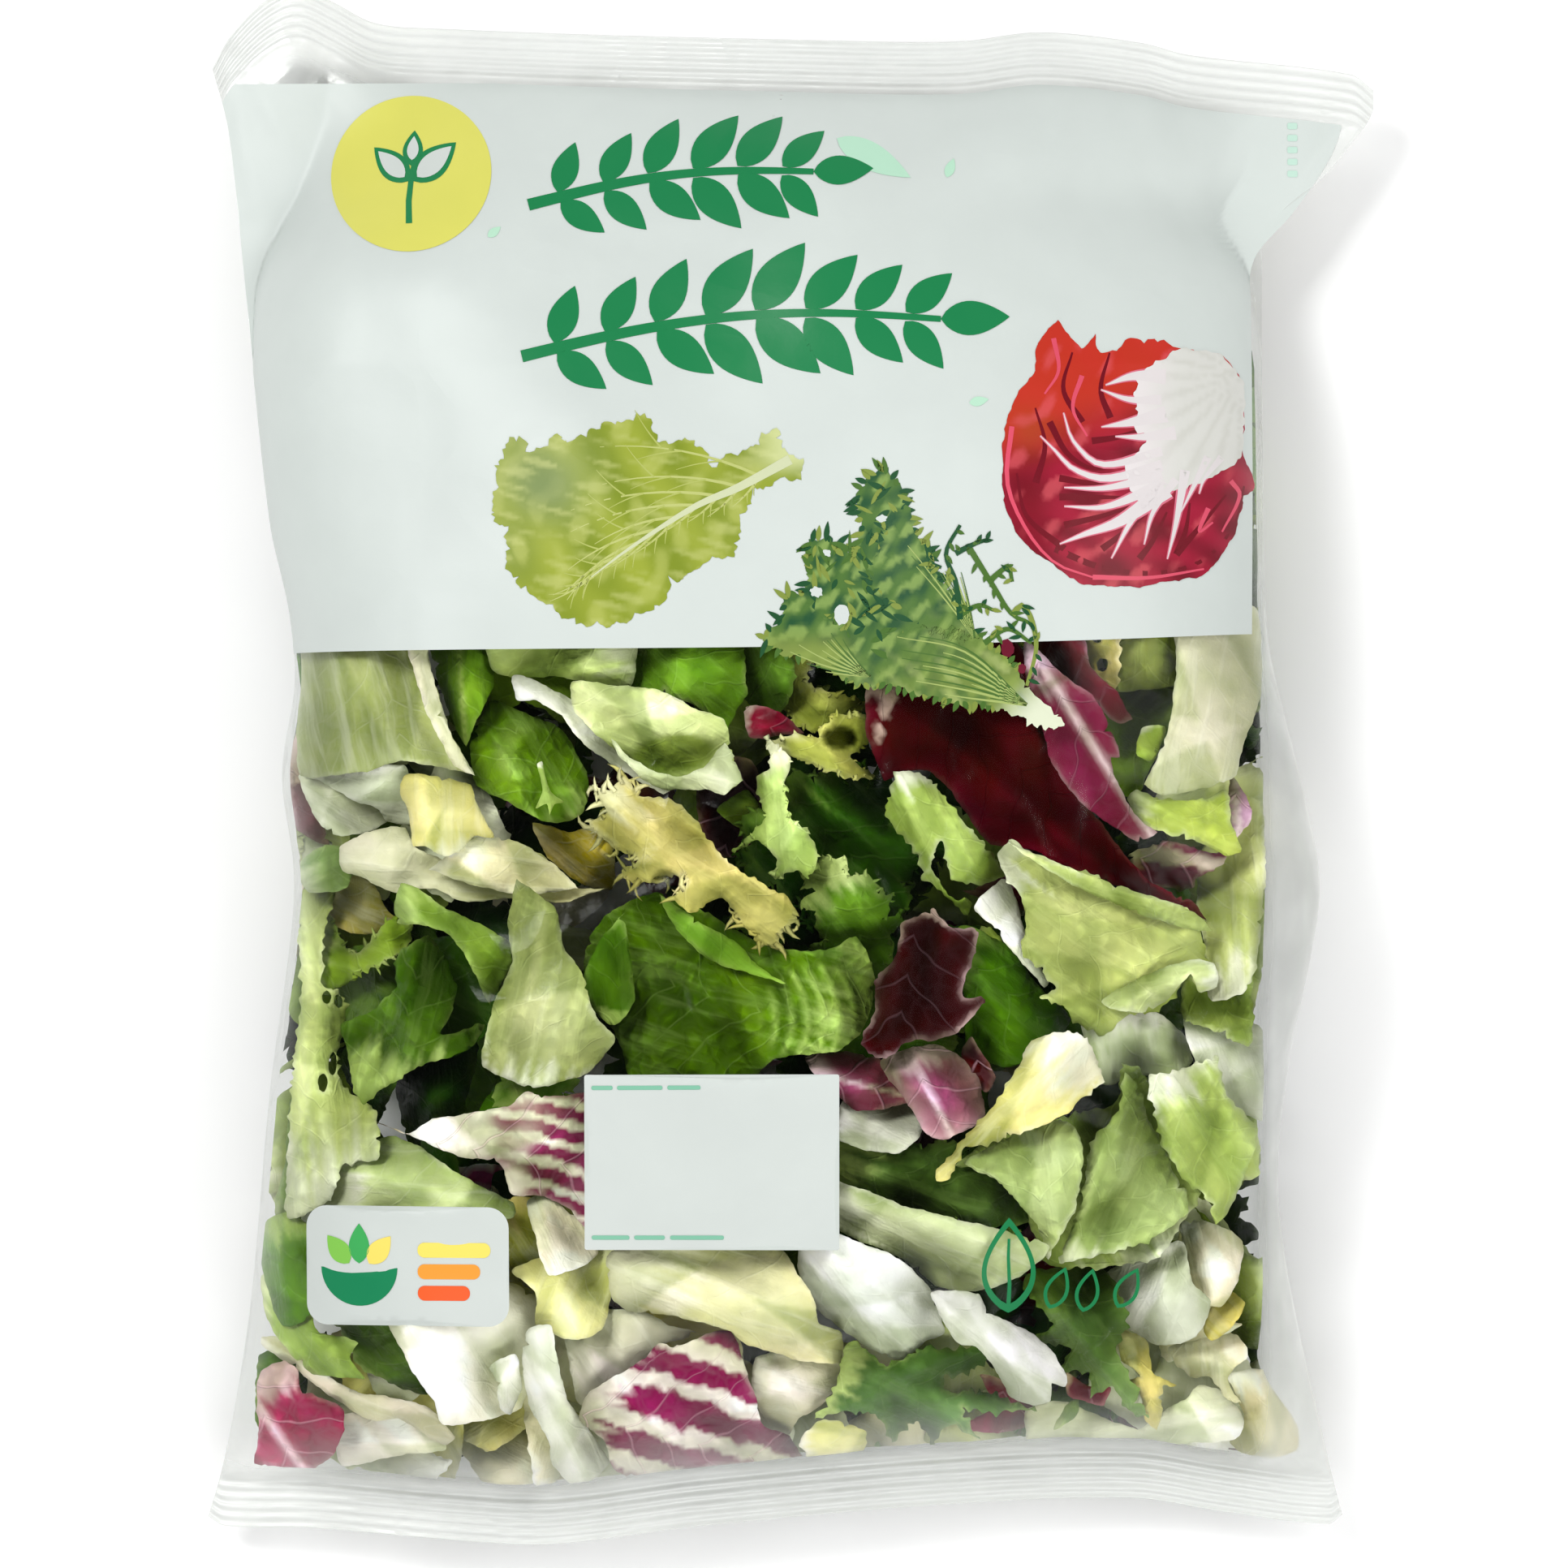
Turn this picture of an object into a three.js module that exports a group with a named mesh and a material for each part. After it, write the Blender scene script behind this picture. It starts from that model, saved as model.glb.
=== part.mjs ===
// A sealed pillow bag of cut salad leaves, lying on its back with the printed face up, as one closed solid.
// Millimetres. +X runs across the bag, +Y towards the head seal, +Z up from the table it lies on.
import * as THREE from "three";

// Size of the filled bag
const BAG_LENGTH = 337;
const BAG_DEPTH = 76;
const SEAL_WIDTH = 11; // crimped band at each end
const SEAL_THICKNESS = 1.2; // two films and the ribs pressed into them
const SEAL_RIBS = 5;
const RIB_HEIGHT = 0.35;

// Heights above the table
const SIDE_HEIGHT = 30; // widest line of the body
const HEAD_SEAL_HEIGHT = 24;
const TAIL_SEAL_HEIGHT = 17;

// How fast the bag fills out from each seal, as lengths along the bag
const TAIL_RISE = 62;
const HEAD_RISE = 150;

// The outline seen from above, as [along, across] for the sides and [across, along] for the ends.
// The bag draws in where the contents fill it and flares into a loose ear at each corner.
const LEFT_SIDE = [
  [-163, -126.5], [-143, -121.5], [-115, -116.5], [-72, -112], [-41, -107.5], [-28, -107],
  [-9, -109.5], [9, -106.8], [23, -107.7], [43, -112], [92, -117.3], [130, -121.2], [151, -125],
];
const RIGHT_SIDE = [
  [-163, 120], [-151, 117.3], [-112, 108], [-90, 105.2], [-65, 107.5], [-41, 112.4], [-26, 114.2],
  [-10, 111.4], [9, 106.5], [23, 103.2], [43, 102.2], [104, 102], [112, 103], [123, 114.5],
  [133, 122.2], [142, 126.2], [147, 126.5],
];
const HEAD_EDGE = [
  [-125, 151], [-121, 158], [-113.5, 165.5], [-106.5, 168.5], [-99, 165.4], [-90, 160.8],
  [-76, 159.6], [0, 157], [36, 156.5], [54, 158.6], [76, 156.5], [86, 154], [121.5, 150], [126.5, 146.5],
];
const TAIL_EDGE = [
  [-126.5, -163], [-123, -165], [-104, -165.3], [-72, -167.8], [-52, -168.5], [-20, -164.5],
  [32, -160], [74, -158.7], [94, -161.7], [117, -164.5], [120, -162.5],
];
// How much of the half width is filled body near the head; the rest is an empty ear
const BODY_SHARE = [[86, 1], [106, 0.97], [124, 0.88], [140, 0.83], [151, 0.82]];
// How steeply the film rises inside that share: a rounded side of the body, or a gentle run into an ear
const ROUND_SIDE = 0.47;
const THIN_EAR = 1.3;

// Mesh fineness
const ACROSS_STEPS = 40;
const RIB_ROWS = 2 * SEAL_RIBS;
const BODY_ROWS = 34;

// A smooth curve through [position, value] stations, held level past its ends.
function curveThrough(stations) {
  const last = stations.length - 1;
  const slope = stations.map((_, i) => {
    const [a, b] = [stations[Math.max(i - 1, 0)], stations[Math.min(i + 1, last)]];
    return (b[1] - a[1]) / (b[0] - a[0]);
  });
  return (at) => {
    if (at <= stations[0][0]) return stations[0][1];
    if (at >= stations[last][0]) return stations[last][1];
    const i = stations.findIndex((s, k) => k < last && at < stations[k + 1][0]);
    const [from, to] = [stations[i], stations[i + 1]];
    const gap = to[0] - from[0];
    const t = (at - from[0]) / gap;
    return (
      from[1] * (1 + 2 * t) * (1 - t) ** 2 +
      slope[i] * gap * t * (1 - t) ** 2 +
      to[1] * t * t * (3 - 2 * t) +
      slope[i + 1] * gap * t * t * (t - 1)
    );
  };
}

const leftSide = curveThrough(LEFT_SIDE);
const rightSide = curveThrough(RIGHT_SIDE);
const headEdge = curveThrough(HEAD_EDGE);
const tailEdge = curveThrough(TAIL_EDGE);
const bodyShare = curveThrough(BODY_SHARE);
const { lerp, clamp } = THREE.MathUtils;

// Where the point at across (-1 left to 1 right) and along (0 tail to 1 head) lies in plan.
function planPoint(across, along) {
  const left = leftSide(lerp(LEFT_SIDE[0][0], LEFT_SIDE.at(-1)[0], along));
  const right = rightSide(lerp(RIGHT_SIDE[0][0], RIGHT_SIDE.at(-1)[0], along));
  const x = lerp(left, right, (across + 1) / 2);
  return [x, lerp(tailEdge(x), headEdge(x), along)];
}

// Share of the full depth reached this far from a seal: a quarter of a flattened oval.
function rise(distance, over) {
  const left = 1 - clamp(distance / over, 0, 1);
  return (1 - left ** 2.4) ** 0.55;
}

// Height of the seals and of the widest line between them; the ends wave and the corners droop.
function middleHeight(across, along) {
  const head = HEAD_SEAL_HEIGHT + 2.6 * Math.sin(5.1 * across + 0.6) - 5 * across ** 4;
  const tail = TAIL_SEAL_HEIGHT + 2.2 * Math.sin(4.3 * across + 2.1) - 6 * across ** 4;
  const nearHead = clamp((along - 0.62) / 0.38, 0, 1) ** 1.6;
  const nearTail = clamp((0.3 - along) / 0.3, 0, 1) ** 1.6;
  return SIDE_HEIGHT * (1 - nearHead - nearTail) + head * nearHead + tail * nearTail;
}

// Soft swells where leaves press on the film, and the folds that run in from each seal.
function swells(x, y) {
  return (
    1.5 * Math.sin(x / 15.5 + 0.7) * Math.sin(y / 19 + 1.1) +
    1.1 * Math.sin((x + 0.6 * y) / 13 + 2.3) +
    0.9 * Math.sin((x - 1.3 * y) / 21 + 0.4)
  );
}
function sealFolds(x, fromTail, fromHead) {
  const head = Math.exp(-fromHead / 26) * (Math.sin(x / 6.1 + 0.5) + 0.7 * Math.sin(x / 10.7 + 2));
  const tail = Math.exp(-fromTail / 20) * (Math.sin(x / 7.3 + 1.7) + 0.6 * Math.sin(x / 12.9));
  return 1.5 * head + 1.3 * tail;
}

// Both films at one place: [x, y, height of the lower film, height of the upper film].
function films(across, along) {
  const [x, y] = planPoint(across, along);
  const fromTail = y - tailEdge(x);
  const fromHead = headEdge(x) - y;
  const middle = middleHeight(across, along);
  const full = rise(fromTail - SEAL_WIDTH, TAIL_RISE) * rise(fromHead - SEAL_WIDTH, HEAD_RISE) ** 1.15;
  const share = bodyShare(y);
  const reach = clamp(Math.abs(across) / share, 0, 1);
  const slope = lerp(ROUND_SIDE, THIN_EAR, clamp((1 - share) * 6, 0, 1));
  const crown = full * (1 - reach ** 3.6) ** slope;
  const belly = full ** 0.6 * (1 - reach ** 4.5) ** slope;
  const fromEnd = Math.min(fromTail, fromHead);
  const rib = fromEnd < SEAL_WIDTH ? RIB_HEIGHT * Math.cos((2 * Math.PI * SEAL_RIBS * fromEnd) / SEAL_WIDTH) : 0;
  const edge = (SEAL_THICKNESS / 2) * (1 - Math.abs(across) ** 12);
  const folds = sealFolds(x, fromTail - SEAL_WIDTH, fromHead - SEAL_WIDTH);
  const relief = (swells(x, y) + folds) * Math.min(1, 1.6 * crown);
  const upper = middle + edge + rib + (BAG_DEPTH - SIDE_HEIGHT) * crown + relief;
  const lower = middle - edge + rib;
  return [x, y, Math.max(0, lower - lower * 1.15 * belly), upper];
}

// Rows bunch at the seals, where the ribs are, and spread over the body.
function rowPositions() {
  const band = SEAL_WIDTH / BAG_LENGTH;
  const ribs = Array.from({ length: RIB_ROWS }, (_, i) => (band * i) / RIB_ROWS);
  const body = Array.from({ length: BODY_ROWS + 1 }, (_, i) => {
    const even = i / BODY_ROWS;
    return lerp(band, 1 - band, lerp(even, (1 - Math.cos(Math.PI * even)) / 2, 0.75));
  });
  return [...ribs, ...body, ...ribs.map((at) => 1 - at).reverse()];
}

// One ring of points for each row: over the upper film from right to left, and back under the lower one.
function bagGeometry() {
  const rows = rowPositions();
  const ring = 2 * ACROSS_STEPS;
  const points = [];
  for (const along of rows)
    for (let i = 0; i < ring; i++) {
      const turn = (Math.PI * i) / ACROSS_STEPS;
      const across = Math.sign(Math.cos(turn)) * Math.abs(Math.cos(turn)) ** 0.85;
      const [x, y, lower, upper] = films(across, along);
      const atEdge = i % ACROSS_STEPS === 0;
      points.push(x, y, atEdge ? (lower + upper) / 2 : i < ACROSS_STEPS ? upper : lower);
    }
  const faces = [];
  const quad = (a, b, c, d) => faces.push(a, b, c, a, c, d);
  for (let r = 0; r + 1 < rows.length; r++)
    for (let i = 0; i < ring; i++) {
      const next = (i + 1) % ring;
      quad(r * ring + i, (r + 1) * ring + i, (r + 1) * ring + next, r * ring + next);
    }
  closeEnd(faces, 0, ring, false);
  closeEnd(faces, (rows.length - 1) * ring, ring, true);
  const geometry = new THREE.BufferGeometry();
  geometry.setAttribute("position", new THREE.Float32BufferAttribute(points, 3));
  geometry.setIndex(faces);
  geometry.computeVertexNormals();
  return geometry;
}

// The narrow face across the end of a seal, between the upper and the lower half of one ring.
function closeEnd(faces, first, ring, atHead) {
  const add = (a, b, c) => (atHead ? faces.push(a, c, b) : faces.push(a, b, c));
  for (let i = 0; i < ACROSS_STEPS; i++) {
    const [upper, upperNext] = [first + i, first + i + 1];
    const [lower, lowerNext] = [first + ((ring - i) % ring), first + ring - i - 1];
    if (upper !== lower) add(upper, upperNext, lower);
    if (upperNext !== lowerNext) add(upperNext, lowerNext, lower);
  }
}

// Sets the middle of the box the bag fills over the origin, with its underside on the table.
function centred(geometry) {
  geometry.computeBoundingBox();
  const { min, max } = geometry.boundingBox;
  return geometry.translate(-(min.x + max.x) / 2, -(min.y + max.y) / 2, -min.z);
}

const film = new THREE.MeshStandardMaterial({
  name: "film",
  color: 0xdfe6df,
  roughness: 0.3,
  metalness: 0,
});

const bag = new THREE.Mesh(centred(bagGeometry()), film);
bag.name = "salad_bag";

const model = new THREE.Group();
model.add(bag);

export default model;
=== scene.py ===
"""A sealed bag of cut salad leaves: the film, the print on it and the leaves inside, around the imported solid.

Shapes are worked out in millimetres in the part's own frame and turned into metres when a mesh is made.
+X runs across the bag, +Y towards the head seal, +Z up from the table.
"""
import math

import bpy
import numpy as np
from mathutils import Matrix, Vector
from mathutils.geometry import delaunay_2d_cdt


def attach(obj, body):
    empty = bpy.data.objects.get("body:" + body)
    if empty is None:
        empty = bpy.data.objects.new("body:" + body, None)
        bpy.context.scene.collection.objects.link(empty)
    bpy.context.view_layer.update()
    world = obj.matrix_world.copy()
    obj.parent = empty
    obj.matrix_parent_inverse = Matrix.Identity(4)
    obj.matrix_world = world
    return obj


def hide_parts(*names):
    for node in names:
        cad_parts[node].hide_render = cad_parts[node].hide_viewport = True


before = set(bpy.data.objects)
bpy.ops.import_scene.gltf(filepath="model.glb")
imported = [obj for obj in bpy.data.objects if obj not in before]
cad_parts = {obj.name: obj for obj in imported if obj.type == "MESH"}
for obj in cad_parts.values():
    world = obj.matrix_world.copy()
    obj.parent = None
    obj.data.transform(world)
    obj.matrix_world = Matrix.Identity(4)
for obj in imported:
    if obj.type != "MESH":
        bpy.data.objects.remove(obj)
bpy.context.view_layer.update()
MM = 0.001

# The bag's form, the same as in the solid
BAG_LENGTH = 337.0
SEAL_WIDTH = 11.0
SEAL_THICKNESS = 1.2
SEAL_RIBS = 5
RIB_HEIGHT = 0.35
BAG_DEPTH = 76.0
SIDE_HEIGHT = 30.0
HEAD_SEAL_HEIGHT = 24.0
TAIL_SEAL_HEIGHT = 17.0
TAIL_RISE = 62.0
HEAD_RISE = 150.0
ROUND_SIDE = 0.47
THIN_EAR = 1.3
LEFT_SIDE = [
    (-163, -126.5), (-143, -121.5), (-115, -116.5), (-72, -112), (-41, -107.5), (-28, -107),
    (-9, -109.5), (9, -106.8), (23, -107.7), (43, -112), (92, -117.3), (130, -121.2), (151, -125),
]
RIGHT_SIDE = [
    (-163, 120), (-151, 117.3), (-112, 108), (-90, 105.2), (-65, 107.5), (-41, 112.4), (-26, 114.2),
    (-10, 111.4), (9, 106.5), (23, 103.2), (43, 102.2), (104, 102), (112, 103), (123, 114.5),
    (133, 122.2), (142, 126.2), (147, 126.5),
]
HEAD_EDGE = [
    (-125, 151), (-121, 158), (-113.5, 165.5), (-106.5, 168.5), (-99, 165.4), (-90, 160.8),
    (-76, 159.6), (0, 157), (36, 156.5), (54, 158.6), (76, 156.5), (86, 154), (121.5, 150), (126.5, 146.5),
]
TAIL_EDGE = [
    (-126.5, -163), (-123, -165), (-104, -165.3), (-72, -167.8), (-52, -168.5), (-20, -164.5),
    (32, -160), (74, -158.7), (94, -161.7), (117, -164.5), (120, -162.5),
]
BODY_SHARE = [(86, 1), (106, 0.97), (124, 0.88), (140, 0.83), (151, 0.82)]


def mix(a, b, share):
    """The value a share of the way from a to b."""
    return a + (b - a) * share


def ease(low, high, value):
    """0 below low, 1 above high, and a smooth run between them."""
    t = np.clip((value - low) / (high - low), 0, 1)
    return t * t * (3 - 2 * t)


def curve_through(stations):
    """A smooth curve through (position, value) stations, held level past its ends."""
    at, value = np.array(stations, float).T
    slope = np.empty_like(value)
    slope[1:-1] = (value[2:] - value[:-2]) / (at[2:] - at[:-2])
    slope[0] = (value[1] - value[0]) / (at[1] - at[0])
    slope[-1] = (value[-1] - value[-2]) / (at[-1] - at[-2])

    def read(x):
        x = np.clip(x, at[0], at[-1])
        i = np.clip(np.searchsorted(at, x, side="right") - 1, 0, len(at) - 2)
        gap = at[i + 1] - at[i]
        t = (x - at[i]) / gap
        start = value[i] * (1 + 2 * t) * (1 - t) ** 2 + slope[i] * gap * t * (1 - t) ** 2
        return start + value[i + 1] * t * t * (3 - 2 * t) + slope[i + 1] * gap * t * t * (t - 1)

    return read


left_side = curve_through(LEFT_SIDE)
right_side = curve_through(RIGHT_SIDE)
head_edge = curve_through(HEAD_EDGE)
tail_edge = curve_through(TAIL_EDGE)
body_share = curve_through(BODY_SHARE)


def side_lines(along):
    """The left and the right edge of the bag at a share of its length."""
    left = left_side(mix(LEFT_SIDE[0][0], LEFT_SIDE[-1][0], along))
    right = right_side(mix(RIGHT_SIDE[0][0], RIGHT_SIDE[-1][0], along))
    return left, right


def plan_point(across, along):
    """The plan position of a place given as -1 left to 1 right and 0 tail to 1 head."""
    left, right = side_lines(along)
    x = mix(left, right, (across + 1) / 2)
    return x, mix(tail_edge(x), head_edge(x), along)


def bag_place(x, y):
    """The opposite of plan_point."""
    tail, head = tail_edge(x), head_edge(x)
    along = np.clip((y - tail) / (head - tail), 0, 1)
    left, right = side_lines(along)
    return np.clip(2 * (x - left) / (right - left) - 1, -1, 1), along


def rise(distance, over):
    """Share of the full depth reached this far from a seal."""
    left = 1 - np.clip(distance / over, 0, 1)
    return np.maximum(1 - left**2.4, 0) ** 0.55


def middle_height(across, along):
    """Height of the seals and of the widest line between them."""
    head = HEAD_SEAL_HEIGHT + 2.6 * np.sin(5.1 * across + 0.6) - 5 * across**4
    tail = TAIL_SEAL_HEIGHT + 2.2 * np.sin(4.3 * across + 2.1) - 6 * across**4
    near_head = np.clip((along - 0.62) / 0.38, 0, 1) ** 1.6
    near_tail = np.clip((0.3 - along) / 0.3, 0, 1) ** 1.6
    return SIDE_HEIGHT * (1 - near_head - near_tail) + head * near_head + tail * near_tail


def swells(x, y):
    """Soft swells where leaves press on the film."""
    return (
        1.5 * np.sin(x / 15.5 + 0.7) * np.sin(y / 19 + 1.1)
        + 1.1 * np.sin((x + 0.6 * y) / 13 + 2.3)
        + 0.9 * np.sin((x - 1.3 * y) / 21 + 0.4)
    )


def seal_folds(x, from_tail, from_head):
    """The folds that run in from each seal."""
    head = np.exp(-from_head / 26) * (np.sin(x / 6.1 + 0.5) + 0.7 * np.sin(x / 10.7 + 2))
    tail = np.exp(-from_tail / 20) * (np.sin(x / 7.3 + 1.7) + 0.6 * np.sin(x / 12.9))
    return 1.5 * head + 1.3 * tail


# Creases pressed into the upper film: start and end in plan, height and half width
CREASES = [
    (-118, 152, -96, 112, 0.9, 2.2), (-112, 158, -84, 130, 0.7, 1.8), (-121, 146, -108, 96, 0.8, 2.4),
    (122, 143, 96, 112, 1.0, 2.0), (118, 134, 92, 100, -0.9, 1.8), (110, 150, 84, 126, 0.7, 1.8),
    (124, 147, 104, 118, 0.8, 1.6), (98, 110, 99, 70, 0.5, 1.6), (-121, -160, -96, -132, 0.9, 2.2),
    (-112, -160, -92, -140, -0.6, 2.0), (116, -160, 100, -128, 1.0, 2.4), (110, -158, 104, -98, 0.8, 2.2),
    (108, -150, 98, -120, -0.6, 1.8), (104, -20, 110, -70, 0.8, 2.6), (106, -60, 104, -110, 0.7, 2.4),
    (-60, 152, -52, 128, 0.4, 2.0), (20, 150, 12, 120, 0.4, 2.2), (60, 148, 52, 122, 0.5, 2.0),
    (-30, -160, -24, -142, 0.6, 1.8), (40, -154, 34, -138, 0.5, 1.6), (72, -152, 66, -136, 0.6, 1.8),
]


def line_place(x, y, x0, y0, x1, y1):
    """How far along a line each point lies, from 0 to 1, and its squared distance from the line."""
    dx, dy = x1 - x0, y1 - y0
    t = np.clip(((x - x0) * dx + (y - y0) * dy) / (dx * dx + dy * dy), 0, 1)
    return t, (x - x0 - t * dx) ** 2 + (y - y0 - t * dy) ** 2


def ridge(x, y, x0, y0, x1, y1, height, width):
    """A rounded crease along one line, fading towards its far end."""
    t, away = line_place(x, y, x0, y0, x1, y1)
    return height * np.exp(-away / width**2) * (1 - t**2)


def fine_folds(x, y, from_tail, from_head):
    """Fine puckers of the upper film at the seals, and its creases."""
    head = np.exp(-np.abs(from_head) / 11) * np.sin(x / 1.35 + 2.2 * np.sin(x / 9.0 + from_head / 9))
    tail = np.exp(-np.abs(from_tail) / 9) * np.sin(x / 1.5 + 2.0 * np.sin(x / 7.7 - from_tail / 8))
    slack = 0.12 * np.sin((x * 0.8 + y) / 4.1 + 1.5 * np.sin(y / 17)) * np.sin((x - y) / 11.3)
    creases = sum(ridge(x, y, *crease) for crease in CREASES)
    return 0.32 * head + 0.3 * tail + slack + creases


def films(across, along, fine=True):
    """Both films at one place: x, y, the height of the lower film and of the upper film."""
    x, y = plan_point(across, along)
    from_tail = y - tail_edge(x) - SEAL_WIDTH
    from_head = head_edge(x) - y - SEAL_WIDTH
    middle = middle_height(across, along)
    full = rise(from_tail, TAIL_RISE) * rise(from_head, HEAD_RISE) ** 1.15
    share = body_share(y)
    reach = np.clip(np.abs(across) / share, 0, 1)
    slope = mix(ROUND_SIDE, THIN_EAR, np.clip((1 - share) * 6, 0, 1))
    crown = full * (1 - reach**3.6) ** slope
    belly = full**0.6 * (1 - reach**4.5) ** slope
    from_end = np.minimum(from_tail, from_head) + SEAL_WIDTH
    ribs = np.cos(2 * np.pi * SEAL_RIBS * from_end / SEAL_WIDTH)
    rib = np.where(from_end < SEAL_WIDTH, RIB_HEIGHT * ribs, 0)
    edge = (SEAL_THICKNESS / 2) * (1 - np.abs(across) ** 12)
    relief = (swells(x, y) + seal_folds(x, from_tail, from_head)) * np.minimum(1, 1.6 * crown)
    upper = middle + edge + rib + (BAG_DEPTH - SIDE_HEIGHT) * crown + relief
    lower = middle - edge + rib
    if fine:
        upper = upper + fine_folds(x, y, from_tail, from_head) * np.minimum(1, 0.25 + 2 * crown)
    return x, y, np.maximum(0.05, lower - lower * 1.15 * belly), upper


def upper_height(x, y):
    """Height of the upper film over a plan position."""
    return films(*bag_place(x, y))[3]


def on_film(x, y, lift):
    """Points a little outside the upper film, moved out along its normal."""
    step = 0.15
    height = upper_height(x, y)
    slope_x = (upper_height(x + step, y) - upper_height(x - step, y)) / (2 * step)
    slope_y = (upper_height(x, y + step) - upper_height(x, y - step)) / (2 * step)
    size = np.sqrt(1 + slope_x**2 + slope_y**2)
    return np.column_stack([x - lift * slope_x / size, y - lift * slope_y / size, height + lift / size])


# Where this frame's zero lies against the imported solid, which is centred on its own box
box_x, box_y, _, _ = films(*np.meshgrid(np.linspace(-1, 1, 161), np.linspace(0, 1, 241)), fine=False)
CENTRE = np.array([(box_x.min() + box_x.max()) / 2, (box_y.min() + box_y.max()) / 2, 0.0])


def linear(colour):
    """A screen colour of 0 to 255 as the linear values that Blender mixes."""
    c = np.array(colour, float) / 255
    return np.where(c <= 0.04045, c / 12.92, ((c + 0.055) / 1.055) ** 2.4)


# How a leaf's own colour differs from the seen one: its strength and contrast, the light taken off it,
# and the darkest value that is left
LEAF_STRENGTH = 0.92
LEAF_CONTRAST = 1.18
ADDED_LIGHT = 0.004
DARKEST = 0.0012


def pigment(colour):
    """A leaf's own colour: the seen one, deepened for the light that its gloss and the film add."""
    return np.clip(LEAF_STRENGTH * linear(colour) ** LEAF_CONTRAST - ADDED_LIGHT, DARKEST, 1)


def make_object(name, points, faces, material, shades=None, plan=None, haze=None):
    """A mesh from points in millimetres, riding on the bag, with its colours and leaf coordinates."""
    mesh = bpy.data.meshes.new(name)
    mesh.from_pydata(((points - CENTRE) * MM).tolist(), [], [tuple(f) for f in faces])
    mesh.polygons.foreach_set("use_smooth", [True] * len(mesh.polygons))
    if shades is not None:
        paint = mesh.attributes.new("shade", "FLOAT_COLOR", "POINT")
        paint.data.foreach_set("color", np.asarray(shades, np.float32).ravel())
    if haze is not None:
        cloud = mesh.attributes.new("haze", "FLOAT", "POINT")
        cloud.data.foreach_set("value", np.asarray(haze, np.float32))
    if plan is not None:
        corners = np.empty(len(mesh.loops), np.int32)
        mesh.loops.foreach_get("vertex_index", corners)
        layer = mesh.uv_layers.new(name="LeafPlan")
        layer.data.foreach_set("uv", np.asarray(plan, np.float32)[corners].ravel())
    mesh.materials.append(material)
    mesh.update()
    piece = bpy.data.objects.new(name, mesh)
    bpy.context.scene.collection.objects.link(piece)
    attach(piece, "root")
    return piece


# Outlines in plan and the triangles inside them


def smooth_outline(corners, step, tension=0.72):
    """A closed curve through plan points, a little angular; a point given twice makes a sharp corner."""
    p = np.array(corners, float)
    count = len(p)
    pieces = []
    for i in range(count):
        before, a, b, after = p[i - 1], p[i], p[(i + 1) % count], p[(i + 2) % count]
        length = math.hypot(*(b - a)[:2])
        if length < 1e-6:
            continue
        start = tension * (b - before) * length / (length + math.hypot(*(a - before)[:2]))
        end = tension * (after - a) * length / (length + math.hypot(*(after - b)[:2]))
        t = np.arange(max(1, round(length / step)))[:, None] / max(1, round(length / step))
        pieces.append(
            a * (1 + 2 * t) * (1 - t) ** 2 + start * t * (1 - t) ** 2
            + b * t * t * (3 - 2 * t) + end * t * t * (t - 1)
        )
    curve = np.vstack(pieces)
    area = np.sum(curve[:, 0] * np.roll(curve[:, 1], -1) - curve[:, 1] * np.roll(curve[:, 0], -1))
    return curve if area > 0 else curve[::-1]


def outward(curve):
    """The outward direction at each point of a curve that runs anticlockwise."""
    step = np.roll(curve, -1, 0) - np.roll(curve, 1, 0)
    step /= np.maximum(np.hypot(*step.T), 1e-9)[:, None]
    return np.column_stack([step[:, 1], -step[:, 0]])


def with_lobes(curve, depth, pitch, rng):
    """The outline cut into uneven rounded lobes with narrow bays between them."""
    run = np.cumsum(np.hypot(*(np.roll(curve, -1, 0) - curve).T))
    count = max(4, round(run[-1] / pitch))
    bounds = np.cumsum(rng.uniform(0.6, 1.4, count))
    phase = np.interp(run / run[-1], np.concatenate([[0], bounds / bounds[-1]]), np.arange(count + 1))
    size = rng.uniform(0.35, 1.0, count + 1)[phase.astype(int) % count]
    bay = np.abs(np.sin(np.pi * (phase % 1))) ** 0.45
    slide = rng.uniform(-1, 1, count + 1)[phase.astype(int) % count] * size * bay
    out = outward(curve)
    side = np.column_stack([-out[:, 1], out[:, 0]])
    return curve + out * (depth * (size * bay - 0.5))[:, None] + side * (0.25 * depth * slide)[:, None]


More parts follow.
